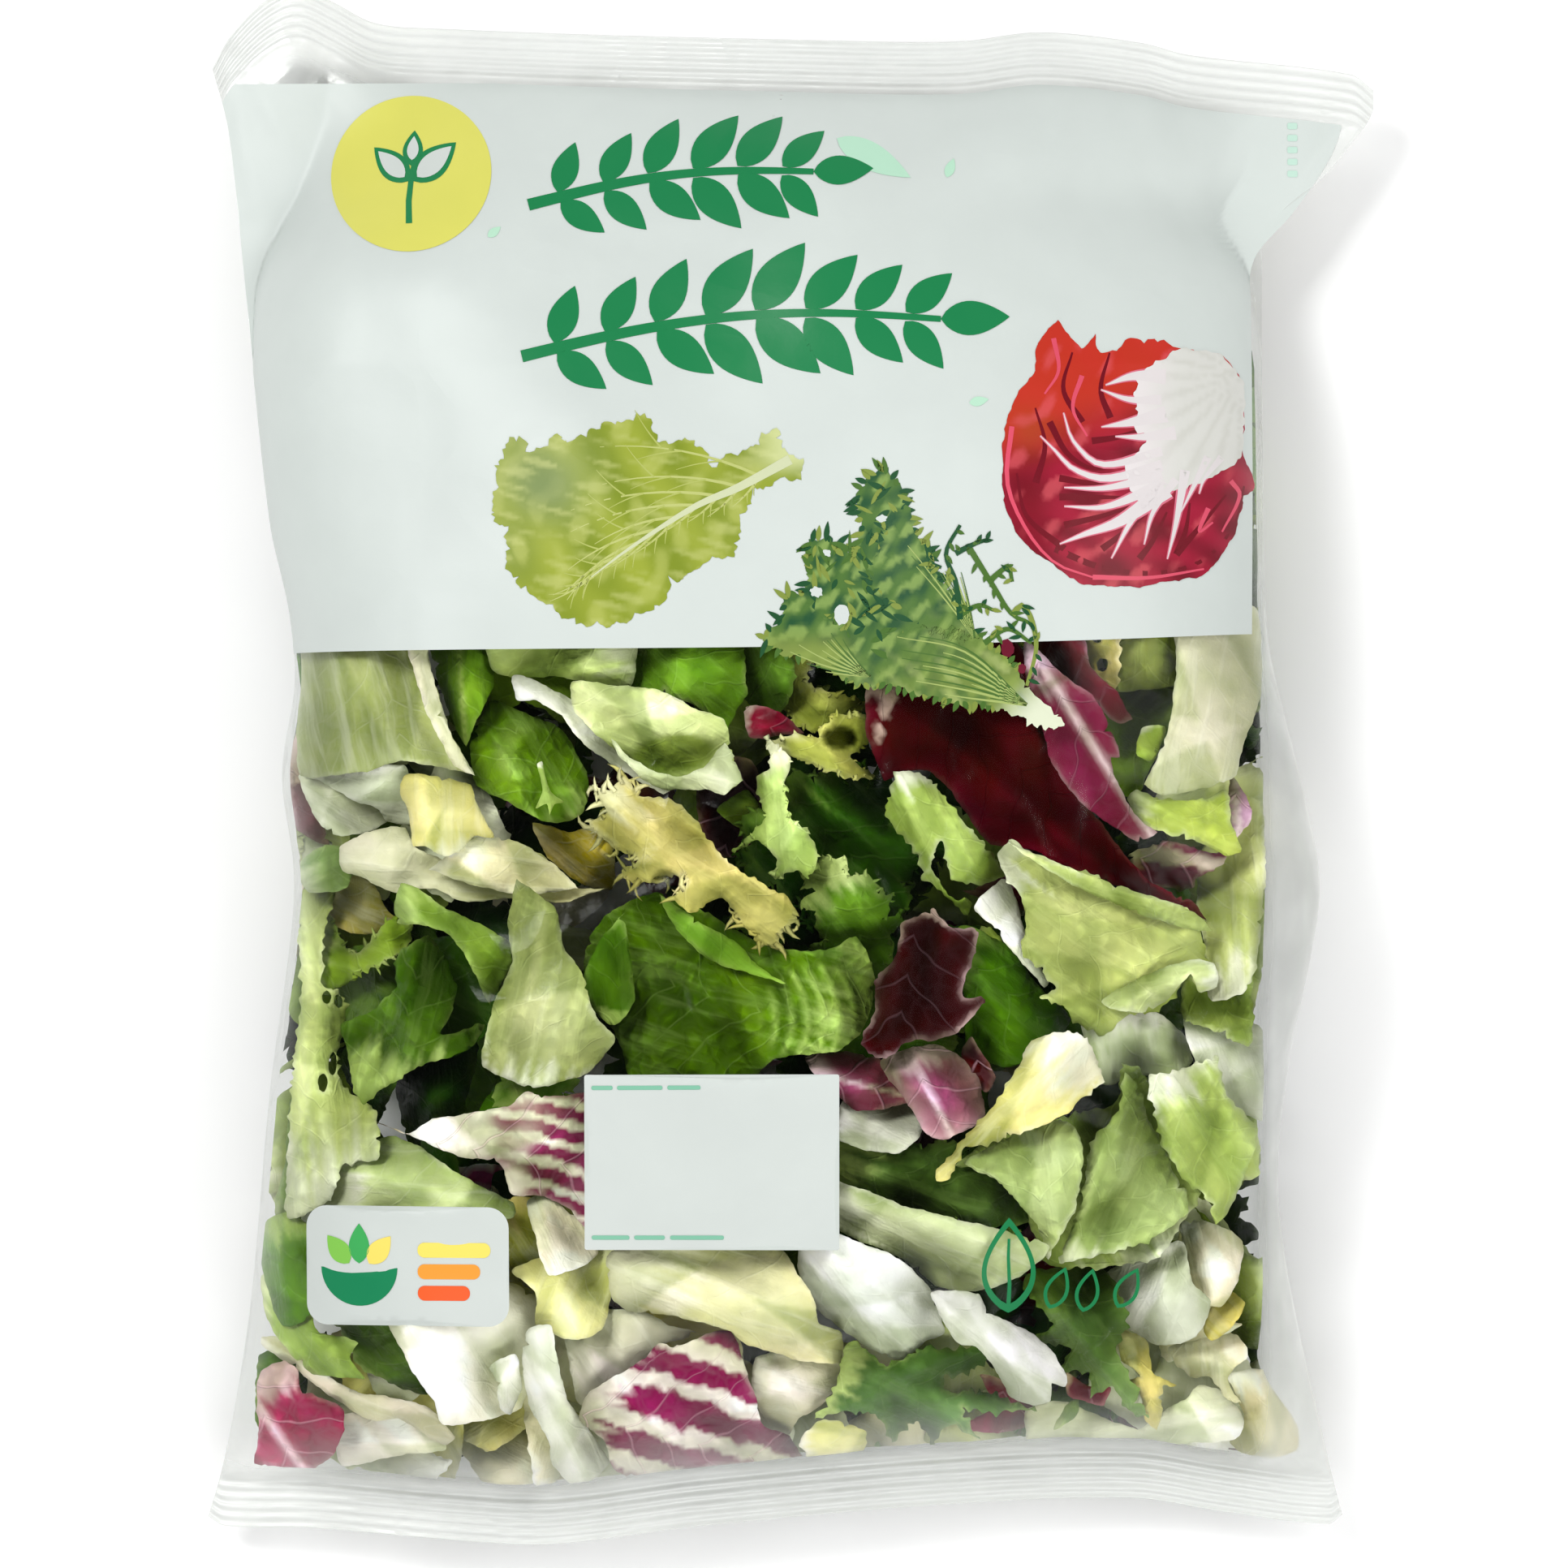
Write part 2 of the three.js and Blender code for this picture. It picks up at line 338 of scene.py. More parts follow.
def with_teeth(curve, depth, pitch, rng, ragged=0.3):
    """The outline with uneven pointed teeth, small nicks and a wobble, so that no edge is ruled."""
    out = outward(curve)
    run = np.cumsum(np.hypot(*(np.roll(curve, -1, 0) - curve).T))
    total = run[-1]
    shift = np.zeros(len(curve))
    if depth > 0:
        teeth = max(3, round(total / pitch))
        bounds = np.cumsum(rng.uniform(0.45, 1.6, teeth))
        phase = np.interp(run / total, np.concatenate([[0], bounds / bounds[-1]]), np.arange(teeth + 1))
        tooth = phase.astype(int) % teeth
        height = rng.uniform(0.1, 1.0, teeth)[tooth] ** 1.3
        peak = rng.uniform(0.35, 0.8, teeth)[tooth]
        part = phase % 1
        shape = np.where(part < peak, part / peak, (1 - part) / (1 - peak)) ** 1.35
        shift += depth * (1.15 * height * shape - 0.25)
    for size, length in ((0.5, 13.0), (0.42, 6.1), (0.3, 3.1), (0.2, 1.7)):
        waves = max(1, round(total / length))
        shift += ragged * size * np.sin(2 * np.pi * waves * run / total + rng.uniform(0, 6.3))
    for _ in range(round(total / 26 * min(1, ragged * 2))):
        at, width, cut = rng.uniform(0, total), rng.uniform(0.4, 0.9), rng.uniform(0.5, 1.6)
        shift -= cut * np.clip(1 - np.abs(run - at) / width, 0, 1)
    return curve + out * shift[:, None]


def inside(points, loops):
    """Which points lie inside the loops, counted by even and odd crossings."""
    x, y = points[:, 0][:, None], points[:, 1][:, None]
    hit = np.zeros(len(points), bool)
    for loop in loops:
        ahead = np.roll(loop, -1, 0)
        crosses = (loop[:, 1] > y) != (ahead[:, 1] > y)
        fall = np.where(ahead[:, 1] == loop[:, 1], 1e-9, ahead[:, 1] - loop[:, 1])
        at = loop[:, 0] + (y - loop[:, 1]) * (ahead[:, 0] - loop[:, 0]) / fall
        hit ^= (crosses & (x < at)).sum(1) % 2 == 1
    return hit


def edge_distance(points, loops):
    """Distance of each point from the nearest edge of the loops."""
    nearest = np.full(len(points), 1e9)
    for loop in loops:
        span = np.roll(loop, -1, 0) - loop
        size = np.maximum((span**2).sum(1), 1e-12)
        for first in range(0, len(points), 4000):
            some = points[first : first + 4000]
            away = some[:, None, :] - loop[None]
            t = np.clip((away * span).sum(2) / size, 0, 1)
            gap = np.sqrt(((away - t[..., None] * span) ** 2).sum(2).min(1))
            nearest[first : first + 4000] = np.minimum(nearest[first : first + 4000], gap)
    return nearest


def fill_outline(loops, spacing, rng):
    """Points and triangles over the area inside closed loops."""
    rims = np.vstack(loops)
    low, high = rims.min(0), rims.max(0)
    columns = np.arange(low[0], high[0] + spacing, spacing)
    rows = np.arange(low[1], high[1] + spacing, spacing * 0.866)
    grid_x, grid_y = np.meshgrid(columns, rows)
    grid_x[1::2] += spacing / 2
    inner = np.column_stack([grid_x.ravel(), grid_y.ravel()])
    inner += rng.uniform(-0.16, 0.16, inner.shape) * spacing
    inner = inner[inside(inner, loops)]
    inner = inner[edge_distance(inner, loops) > 0.5 * spacing]
    points = np.vstack([rims, inner])
    links = []
    first = 0
    for loop in loops:
        ring = list(range(first, first + len(loop)))
        links += list(zip(ring, ring[1:] + ring[:1]))
        first += len(loop)
    made = delaunay_2d_cdt([Vector(p) for p in points], links, [], 0, 1e-6, False)
    points = np.array([tuple(p) for p in made[0]])
    faces = np.array([f for f in made[2] if len(f) == 3])
    a, b, c = points[faces[:, 0]], points[faces[:, 1]], points[faces[:, 2]]
    area = (b[:, 0] - a[:, 0]) * (c[:, 1] - a[:, 1]) - (b[:, 1] - a[:, 1]) * (c[:, 0] - a[:, 0])
    keep = (np.abs(area) > 1e-4) & inside((a + b + c) / 3, loops)
    faces = np.where((area > 0)[:, None], faces, faces[:, ::-1])[keep]
    used, faces = np.unique(faces, return_inverse=True)
    return points[used], faces.reshape(-1, 3)


def rim_edges(faces):
    """The edges that only one triangle uses, in that triangle's direction."""
    pairs = np.vstack([faces[:, [0, 1]], faces[:, [1, 2]], faces[:, [2, 0]]])
    _, where, count = np.unique(np.sort(pairs, 1), axis=0, return_index=True, return_counts=True)
    return pairs[where[count == 1]]


class Gathered:
    """Points, faces, colours and leaf coordinates of many small meshes that become one piece."""

    def __init__(self):
        self.points, self.faces, self.shades, self.plan = [], [], [], []
        self.count = 0

    def add(self, points, faces, shades, plan):
        """Takes in one more mesh."""
        self.points.append(points)
        self.faces += [tuple(int(i) + self.count for i in f) for f in faces]
        self.shades.append(shades)
        self.plan.append(plan)
        self.count += len(points)

    def make(self, name, material, slot):
        """Makes the piece from all that was taken in."""
        points, shades, plan = [np.vstack(part) for part in (self.points, self.shades, self.plan)]
        make_object(name, points, self.faces, material, shades, plan)


# Node helpers


def feed(tree, socket, value):
    """Gives a socket a value or another node's output."""
    if isinstance(value, bpy.types.NodeSocket):
        tree.links.new(value, socket)
    else:
        socket.default_value = value


def add_node(tree, kind, inputs=None, **settings):
    """A node with its settings and its inputs."""
    node = tree.nodes.new(kind)
    for key, value in settings.items():
        setattr(node, key, value)
    for key, value in (inputs or {}).items():
        feed(tree, node.inputs[key], value)
    return node


def reckon(tree, operation, *values):
    """The output of one Math node."""
    return add_node(tree, "ShaderNodeMath", dict(enumerate(values)), operation=operation).outputs[0]


def plus(tree, a, b):
    """The sum of two values."""
    return reckon(tree, "ADD", a, b)


def minus(tree, a, b):
    """The first value less the second."""
    return reckon(tree, "SUBTRACT", a, b)


def times(tree, a, b):
    """Two values multiplied."""
    return reckon(tree, "MULTIPLY", a, b)


def noise(tree, place, scale, detail, **inputs):
    """A Noise node with its place, scale and detail."""
    return add_node(tree, "ShaderNodeTexNoise", {"Vector": place, "Scale": scale, "Detail": detail, **inputs})


def edge_cells(tree, place, scale):
    """Distance to the nearest edge of a pattern of cells."""
    inputs = {"Vector": place, "Scale": scale}
    node = add_node(tree, "ShaderNodeTexVoronoi", inputs, feature="DISTANCE_TO_EDGE")
    return node.outputs["Distance"]


def blend(tree, share, first, second):
    """A colour a share of the way from the first to the second."""
    return add_node(tree, "ShaderNodeMix", {0: share, 6: first, 7: second}, data_type="RGBA").outputs[2]


def set_bump(tree, shader, height, strength, distance):
    """Gives the shader the bumps of a height."""
    inputs = {"Height": height, "Strength": strength, "Distance": distance}
    tree.links.new(add_node(tree, "ShaderNodeBump", inputs).outputs[0], shader.inputs["Normal"])


def set_roughness(tree, shader, roughness, pattern, amount):
    """Gives the shader a roughness that a pattern raises by an amount."""
    tree.links.new(plus(tree, roughness, times(tree, pattern, amount)), shader.inputs["Roughness"])


def step_mask(tree, value, low, high, start=0.0, end=1.0):
    """A smooth step from start at low to end at high."""
    settings = {"Value": value, "From Min": low, "From Max": high, "To Min": start, "To Max": end}
    return add_node(tree, "ShaderNodeMapRange", settings, interpolation_type="SMOOTHSTEP").outputs[0]


def new_group(name, inputs, outputs):
    """A shader node group with named sockets, and its input and output nodes."""
    tree = bpy.data.node_groups.new(name, "ShaderNodeTree")
    types = {"value": "NodeSocketFloat", "colour": "NodeSocketColor", "vector": "NodeSocketVector"}
    for socket, (kind, default) in inputs.items():
        made = tree.interface.new_socket(socket, in_out="INPUT", socket_type=types[kind])
        if default is not None:
            made.default_value = default
    for socket, kind in outputs.items():
        tree.interface.new_socket(socket, in_out="OUTPUT", socket_type=types[kind])
    return tree, tree.nodes.new("NodeGroupInput").outputs, tree.nodes.new("NodeGroupOutput").inputs


def place_group(tree, group, **values):
    """A group placed in a material with its own values, named with spaces for underscores."""
    node = tree.nodes.new("ShaderNodeGroup")
    node.node_tree = group
    for key, value in values.items():
        feed(tree, node.inputs[key.replace("_", " ")], value)
    return node.outputs


def vein_group():
    """Veins over leaf coordinates: x runs along the midrib and y across it, one unit is 10 mm."""
    tree, given, out = new_group(
        "leaf veins",
        {
            "Leaf plan": ("vector", None), "Side vein gap": ("value", 0.9), "Slant": ("value", 0.8),
            "Line width": ("value", 0.07), "Long vein scale": ("value", 2.4), "Net scale": ("value", 2.6),
        },
        {"Side veins": "value", "Long veins": "value", "Net": "value", "Pucker": "value"},
    )
    wander = noise(tree, given["Leaf plan"], 0.7, 2.0)
    split = add_node(tree, "ShaderNodeSeparateXYZ", {0: given["Leaf plan"]})
    shift = times(tree, minus(tree, wander.outputs[0], 0.5), 0.9)
    across = reckon(tree, "ABSOLUTE", split.outputs[1])
    bowed = times(tree, reckon(tree, "POWER", across, 0.85), given["Slant"])
    run = plus(tree, minus(tree, split.outputs[0], bowed), shift)
    cycle = reckon(tree, "FRACT", reckon(tree, "DIVIDE", run, given["Side vein gap"]))
    near = times(tree, reckon(tree, "ABSOLUTE", minus(tree, cycle, 0.5)), 2.0)
    thin = step_mask(tree, across, 0.0, 3.2, 1.0, 0.35)
    width = times(tree, given["Line width"], thin)
    line = step_mask(tree, reckon(tree, "DIVIDE", near, width), 0.3, 1.6, 1.0, 0.0)
    tree.links.new(times(tree, line, thin), out["Side veins"])
    drift = plus(tree, split.outputs[1], times(tree, shift, 0.25))
    drawn = add_node(tree, "ShaderNodeCombineXYZ", {0: times(tree, split.outputs[0], 0.12), 1: drift})
    streaks = noise(tree, drawn.outputs[0], given["Long vein scale"], 3.0, Roughness=0.65)
    tree.links.new(step_mask(tree, streaks.outputs[0], 0.46, 0.66), out["Long veins"])
    bent = add_node(tree, "ShaderNodeVectorMath", {0: given["Leaf plan"], 1: wander.outputs[1]})
    cells = edge_cells(tree, bent.outputs[0], given["Net scale"])
    tree.links.new(step_mask(tree, cells, 0.02, 0.16, 1.0, 0.0), out["Net"])
    tree.links.new(step_mask(tree, cells, 0.0, 0.42), out["Pucker"])
    return tree


def mottle_group():
    """Uneven colour and fine bumps of a leaf's skin, by place in the bag."""
    tree, given, out = new_group(
        "leaf mottle",
        {
            "Place": ("vector", None), "Colour": ("colour", None), "Amount": ("value", 0.3),
            "Patch scale": ("value", 90.0), "Grain scale": ("value", 900.0),
        },
        {"Colour": "colour", "Patches": "value", "Grain": "value"},
    )
    patch = noise(tree, given["Place"], given["Patch scale"], 4.0, Roughness=0.6)
    grain = noise(tree, given["Place"], given["Grain scale"], 2.0)
    shift = times(tree, minus(tree, patch.outputs[0], 0.5), given["Amount"])
    light = plus(tree, 1.0, times(tree, shift, 2.0))
    turn = plus(tree, 0.5, times(tree, shift, -0.12))
    tuned = add_node(tree, "ShaderNodeHueSaturation", {"Color": given["Colour"], "Hue": turn, "Value": light})
    tree.links.new(tuned.outputs[0], out["Colour"])
    tree.links.new(patch.outputs[0], out["Patches"])
    tree.links.new(grain.outputs[0], out["Grain"])
    return tree


CRINKLE_SHIFT = 0.02


def crinkle_group():
    """Small crinkles of thin plastic film, as a height."""
    tree, given, out = new_group(
        "film crinkle",
        {"Place": ("vector", None), "Scale": ("value", 60.0)},
        {"Height": "value", "Cloud": "value"},
    )
    warp = noise(tree, given["Place"], 28.0, 3.0)
    shift = {0: warp.outputs[1], 1: (CRINKLE_SHIFT,) * 3}
    moved = add_node(tree, "ShaderNodeVectorMath", shift, operation="MULTIPLY")
    place = add_node(tree, "ShaderNodeVectorMath", {0: given["Place"], 1: moved.outputs[0]})
    soft = step_mask(tree, edge_cells(tree, place.outputs[0], given["Scale"]), 0.0, 0.28)
    fine = noise(tree, given["Place"], 260.0, 3.0)
    height = plus(tree, soft, times(tree, fine.outputs[0], 0.35))
    tree.links.new(height, out["Height"])
    tree.links.new(warp.outputs[0], out["Cloud"])
    return tree


VEINS = vein_group()
MOTTLE = mottle_group()
CRINKLE = crinkle_group()


def new_material(name, **fixed):
    """A material with one Principled shader; constants are set on the shader's own sockets."""
    material = bpy.data.materials.new(name)
    material.use_nodes = True
    tree = material.node_tree
    shader = tree.nodes["Principled BSDF"]
    for key, value in fixed.items():
        shader.inputs[key.replace("_", " ")].default_value = value
    return material, tree, shader


def leaf_material(name, vein_colour, own, side, long, net, pucker, roughness, mottle):
    """A leaf's finish: the painted colour, its veins, mottling, painted light on its puckered cells and waxy
    gloss.

    The veins are mixed from a colour given and, by the share called own, a paler tone of the leaf itself.
    """
    material, tree, shader = new_material(name, Specular_IOR_Level=0.2)
    paint = add_node(tree, "ShaderNodeAttribute", attribute_name="shade")
    plan = add_node(tree, "ShaderNodeUVMap", uv_map="LeafPlan")
    place = add_node(tree, "ShaderNodeTexCoord").outputs["Object"]
    veins = place_group(tree, VEINS, Leaf_plan=plan.outputs[0])
    strength = paint.outputs["Alpha"]
    # Painted light: each puckered cell is painted lighter towards its raised middle and darker at its rim, as
    # well as raised by the bump
    puffed = times(tree, minus(tree, veins["Pucker"], 0.5), times(tree, strength, pucker))
    lit = plus(tree, 1.0, times(tree, puffed, 0.5))
    tone = add_node(tree, "ShaderNodeHueSaturation", {"Color": paint.outputs["Color"], "Value": lit})
    skin = place_group(tree, MOTTLE, Place=place, Colour=tone.outputs[0], Amount=mottle)
    lines = times(tree, veins["Side veins"], side)
    for vein, share in (("Long veins", long), ("Net", net)):
        lines = reckon(tree, "MAXIMUM", lines, times(tree, veins[vein], share))
    faded = {"Color": skin["Colour"], "Saturation": 0.88, "Value": 2.0}
    paler = add_node(tree, "ShaderNodeHueSaturation", faded)
    tree.links.new(paler.outputs[0], shader.inputs["Specular Tint"])
    vein_tone = blend(tree, own, (*pigment(vein_colour), 1), paler.outputs[0])
    colour = blend(tree, times(tree, lines, strength), skin["Colour"], vein_tone)
    tree.links.new(colour, shader.inputs["Base Color"])
    set_roughness(tree, shader, roughness, skin["Patches"], 0.18)
    height = plus(tree, times(tree, lines, 0.5), times(tree, skin["Grain"], 0.2))
    set_bump(tree, shader, plus(tree, height, puffed), 0.8, 0.0009)
    return material


FILM_MILK = (225, 227, 224)
FILM_CLEAR = (0.985, 0.99, 0.985, 1)


def film_material():
    """Clear film: a thin gloss with a little haze, milky where it is doubled, crimped or seen edge on."""
    milk = (*linear(FILM_MILK), 1)
    material, tree, shader = new_material("clear film", Base_Color=milk, Specular_IOR_Level=0.6)
    place = add_node(tree, "ShaderNodeTexCoord").outputs["Object"]
    crinkle = place_group(tree, CRINKLE, Place=place, Scale=55.0)
    haze = add_node(tree, "ShaderNodeAttribute", attribute_name="haze").outputs["Fac"]
    edge = add_node(tree, "ShaderNodeLayerWeight", {"Blend": 0.35}).outputs["Facing"]
    cloud = step_mask(tree, crinkle["Cloud"], 0.35, 0.7, 0.8, 1.3)
    cover = times(tree, haze, cloud)
    cover = plus(tree, cover, times(tree, reckon(tree, "POWER", edge, 2.5), 0.4))
    cover = reckon(tree, "MINIMUM", cover, 0.92)
    tree.links.new(step_mask(tree, haze, 0.03, 0.25, 1.0, 0.05), shader.inputs["Metallic"])
    tree.links.new(step_mask(tree, haze, 0.03, 0.4, 0.14, 0.34), shader.inputs["Roughness"])
    set_bump(tree, shader, crinkle["Height"], 0.5, 0.0008)
    clear = add_node(tree, "ShaderNodeBsdfTransparent", {"Color": FILM_CLEAR})
    through = add_node(tree, "ShaderNodeMixShader", {0: cover, 1: clear.outputs[0], 2: shader.outputs[0]})
    tree.links.new(through.outputs[0], tree.nodes["Material Output"].inputs["Surface"])
    return material


def print_material(name, roughness):
    """Ink on film: the painted colour under the film's gloss, with faint clouds of painted shade where leaves
    lie behind the ink.
    """
    material, tree, shader = new_material(name, Specular_IOR_Level=0.2)
    paint = add_node(tree, "ShaderNodeAttribute", attribute_name="shade")
    place = add_node(tree, "ShaderNodeTexCoord").outputs["Object"]
    crinkle = place_group(tree, CRINKLE, Place=place, Scale=42.0)
    # Painted shade: faint uneven clouds that stand for the leaves showing dark through the ink
    clouds = {"Amount": 0.06, "Patch_scale": 38.0, "Grain_scale": 700.0}
    ink = place_group(tree, MOTTLE, Place=place, Colour=paint.outputs["Color"], **clouds)
    tree.links.new(ink["Colour"], shader.inputs["Base Color"])
    set_roughness(tree, shader, roughness, ink["Patches"], 0.12)
    set_bump(tree, shader, plus(tree, crinkle["Height"], times(tree, ink["Grain"], 0.1)), 0.22, 0.0005)
    return material


# The film

FILM_COLUMNS = 170
FILM_ROWS = 210
# How milky the film is where it lies flat, and what each part of the bag adds to that
HAZE = {
    "plain": 0.007, "seal": 0.42, "near_tail": 0.17, "near_head": 0.3, "flap": 0.38, "ear": 0.35,
    "side": 0.1,
}
MOST_HAZE = 0.62


def film_haze(x, y, across):
    """How milky the film is: strongest in the seals, then in the empty ears and flaps."""
    from_end = np.minimum(y - tail_edge(x), head_edge(x) - y)
    there = {
        "plain": 1,
        "seal": 1 - ease(SEAL_WIDTH - 1, SEAL_WIDTH + 4, from_end),
        "near_tail": 1 - ease(11, 26, y - tail_edge(x)),
        "near_head": 1 - ease(12, 22, head_edge(x) - y),
        "flap": ease(99, 104, x) * (1 - ease(60, 100, y)),
        "ear": ease(96, 110, x) * ease(104, 118, y),
        "side": ease(0.93, 1.0, np.abs(across)),
    }
    return np.minimum(sum(HAZE[part] * share for part, share in there.items()), MOST_HAZE)


def make_film():
    """Both films in one surface: rings of points over the upper film and back under the lower one."""
    band = SEAL_WIDTH / BAG_LENGTH
    ribs = np.linspace(0, band, 6 * SEAL_RIBS, endpoint=False)
    even = np.linspace(0, 1, FILM_ROWS)
    body = mix(band, 1 - band, mix(even, (1 - np.cos(np.pi * even)) / 2, 0.35))
    rows = np.concatenate([ribs, body, 1 - ribs[::-1]])
    turn = np.pi * np.arange(2 * FILM_COLUMNS) / FILM_COLUMNS
    across_ring = np.sign(np.cos(turn)) * np.abs(np.cos(turn)) ** 0.8
    across, along = np.meshgrid(across_ring, rows)
    x, y, lower, upper = films(across, along)
    on_top = np.arange(2 * FILM_COLUMNS) < FILM_COLUMNS
    z = np.where(on_top, upper, lower)
    for edge in (0, FILM_COLUMNS):
        z[:, edge] = (lower[:, edge] + upper[:, edge]) / 2
    points = np.column_stack([x.ravel(), y.ravel(), z.ravel()])
    ring = 2 * FILM_COLUMNS
    here = np.arange((len(rows) - 1) * ring)
    beside = np.where(here % ring == ring - 1, here + 1 - ring, here + 1)
    faces = [tuple(f) for f in np.column_stack([here, here + ring, beside + ring, beside])]
    for first, flip in ((0, False), ((len(rows) - 1) * ring, True)):
        for i in range(FILM_COLUMNS):
            upper_pair = (first + i, first + i + 1)
            lower_pair = (first + (ring - i) % ring, first + ring - i - 1)
            if i == 0:
                face = (upper_pair[0], upper_pair[1], lower_pair[1])
            elif i == FILM_COLUMNS - 1:
                face = (upper_pair[0], upper_pair[1], lower_pair[0])
            else:
                face = (upper_pair[0], upper_pair[1], lower_pair[1], lower_pair[0])
            faces.append(face[::-1] if flip else face)
    haze = film_haze(x, y, across).ravel()
    film = make_object("clear_film", points, faces, film_material(), haze=haze)
    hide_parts("salad_bag")


make_film()

# The print, laid on the upper film

PANEL_FOOT = curve_through([(-117, 24.2), (-60, 24.8), (0, 25.3), (60, 26.6), (99, 28.3)])
PANEL_RIGHT = curve_through(
    [(24, 98.7), (60, 99.1), (100, 99.3), (110, 100.5), (120, 109), (133, 117.5), (146, 121)]
)
PANEL_TOP = 147.5
PANEL_SIDE_GAP = 0.05
PANEL_HEAD_GAP = 0.6
# Where the search for each point of the panel starts: x, and y at its foot and its head
PANEL_START = (-110, 26, 146)
PANEL_COLUMNS = 190
PANEL_ROWS = 96
PANEL_WHITE = (192, 199, 195)
WHITE = (190, 196, 192)
GREEN = (22, 118, 68)
YELLOW = (202, 200, 94)
# How far outside the film each layer of the print lies
PANEL_LIFT = 0.12
LABEL_LIFT = 0.14
FAINT_LIFT = 0.22
FIELD_LIFT = 0.24
SHAPE_LIFT = 0.26
TUFT_LIFT = 0.27
LOBE_LIFT = 0.275
RIB_LIFT = 0.28
FINE_LIFT = 0.29
TOP_LIFT = 0.3
STREAK_LIFT = 0.31
INSET_LIFT = 0.34

WHITE_PRINT = print_material("white ink on film", 0.34)
COLOUR_PRINT = print_material("colour ink on film", 0.32)
prints = Gathered()
labels = Gathered()
ink_rng = np.random.default_rng(7)


def painted(colour, count):
    """One colour for every point; the fourth value is the strength of a leaf's veins, here none."""
    return np.tile([*linear(colour), 0.0], (count, 1))


def make_panel():
    """The white printed field over the upper half, round to the left side fold."""
    even = np.linspace(0, 1, PANEL_COLUMNS)
    s = mix(even, 0.5 - 0.5 * np.cos(np.pi * even), 0.7)[None, :]
    t = np.linspace(0, 1, PANEL_ROWS)[:, None]
    x, y = PANEL_START[0] + 0 * s * t, mix(*PANEL_START[1:], t) + 0 * s
    for _ in range(4):
        left = side_lines(bag_place(x[:, :1], y[:, :1])[1])[0] + PANEL_SIDE_GAP
        x = mix(left, PANEL_RIGHT(y), s)
        y = mix(PANEL_FOOT(x), np.minimum(head_edge(x) - SEAL_WIDTH - PANEL_HEAD_GAP, PANEL_TOP), t)
    points = on_film(x.ravel(), y.ravel(), PANEL_LIFT)
    corner = np.arange(PANEL_COLUMNS * (PANEL_ROWS - 1)).reshape(-1, PANEL_COLUMNS)[:, :-1].ravel()
    faces = np.column_stack([corner, corner + 1, corner + PANEL_COLUMNS + 1, corner + PANEL_COLUMNS])
    shades = painted(PANEL_WHITE, len(points))
    make_object("white_panel", points, faces, WHITE_PRINT, shades, points[:, :2] / 10)


def stamp(target, outline, ink, lift, spacing=1.6, holes=()):
    """One printed shape: an outline in plan, filled with a colour or a shading and laid on the film."""
    points, faces = fill_outline([np.asarray(outline, float), *holes], spacing, ink_rng)
    colours = ink(points) if callable(ink) else painted(ink, len(points))
    target.add(on_film(points[:, 0], points[:, 1], lift), faces, colours, points / 10)


def disc(x, y, rx, ry=None, steps=40, start=0.0, sweep=2 * math.pi):
    """Points round an ellipse, or round part of it."""
    a = start + np.linspace(0, sweep, steps, endpoint=sweep < 6.28)
    return np.column_stack([x + rx * np.cos(a), y + (ry or rx) * np.sin(a)])


def rounded_box(x0, y0, x1, y1, radius):
    """A rectangle with round corners."""
    corners = [(x1 - radius, y1 - radius, 0), (x0 + radius, y1 - radius, 1),
               (x0 + radius, y0 + radius, 2), (x1 - radius, y0 + radius, 3)]
    arcs = [disc(x, y, radius, steps=9, start=k * math.pi / 2, sweep=math.pi / 2) for x, y, k in corners]
    return np.vstack(arcs)


def blade(x, y, angle, length, width, steps=14):
    """A pointed oval leaf from its foot."""
    t = np.linspace(0, 1, steps)
    half = width / 2 * np.sin(np.pi * t**0.8) ** 0.9
    along = np.concatenate([t, t[-2:0:-1]]) * length
    side = np.concatenate([-half, half[-2:0:-1]])
    c, s = math.cos(angle), math.sin(angle)
    return np.column_stack([x + c * along - s * side, y + s * along + c * side])


def stroke(line, start_width, end_width):
    """A brush stroke along a line of points, tapering from one width to the other."""
    p = np.asarray(line, float)
    step = np.gradient(p, axis=0)
    step /= np.hypot(*step.T)[:, None]
    side = np.column_stack([-step[:, 1], step[:, 0]])
    half = np.linspace(start_width, end_width, len(p))[:, None] / 2
    return np.vstack([p - side * half, (p + side * half)[::-1]])


def sprig(x0, y0, x1, y1, sway, pairs, length):
    """A leafy sprig in one colour: a bowed stem with a pair of leaves at each step and one at the tip."""
    t = np.linspace(0, 1, 24)
    stem = np.column_stack([mix(x0, x1, t), mix(y0, y1, t) + sway * np.sin(np.pi * t)])
    stamp(prints, stroke(stem, 2.6, 1.3), GREEN, SHAPE_LIFT)
    for k in range(pairs):
        at = (k + 0.6) / (pairs + 0.4)
        foot = np.array([mix(x0, x1, at), mix(y0, y1, at) + sway * math.sin(math.pi * at)])
        heading = math.atan2(y1 - y0 + sway * math.pi * math.cos(math.pi * at), x1 - x0)
        size = length * (0.78 + 0.3 * math.sin(math.pi * at)) * (1 + 0.08 * math.sin(5 * k))
        for sign in (-1, 1):
            angle = heading + sign * (0.95 - 0.2 * at + 0.07 * math.sin(3 * k + sign))
            root = foot + 1.4 * np.array([math.cos(angle), math.sin(angle)])
            stamp(prints, blade(*root, angle, size, size * 0.48), GREEN, SHAPE_LIFT)
    tip = blade(x1, y1, math.atan2(y1 - y0 - sway, x1 - x0), length * 0.95, length * 0.48)
    stamp(prints, tip, GREEN, SHAPE_LIFT)


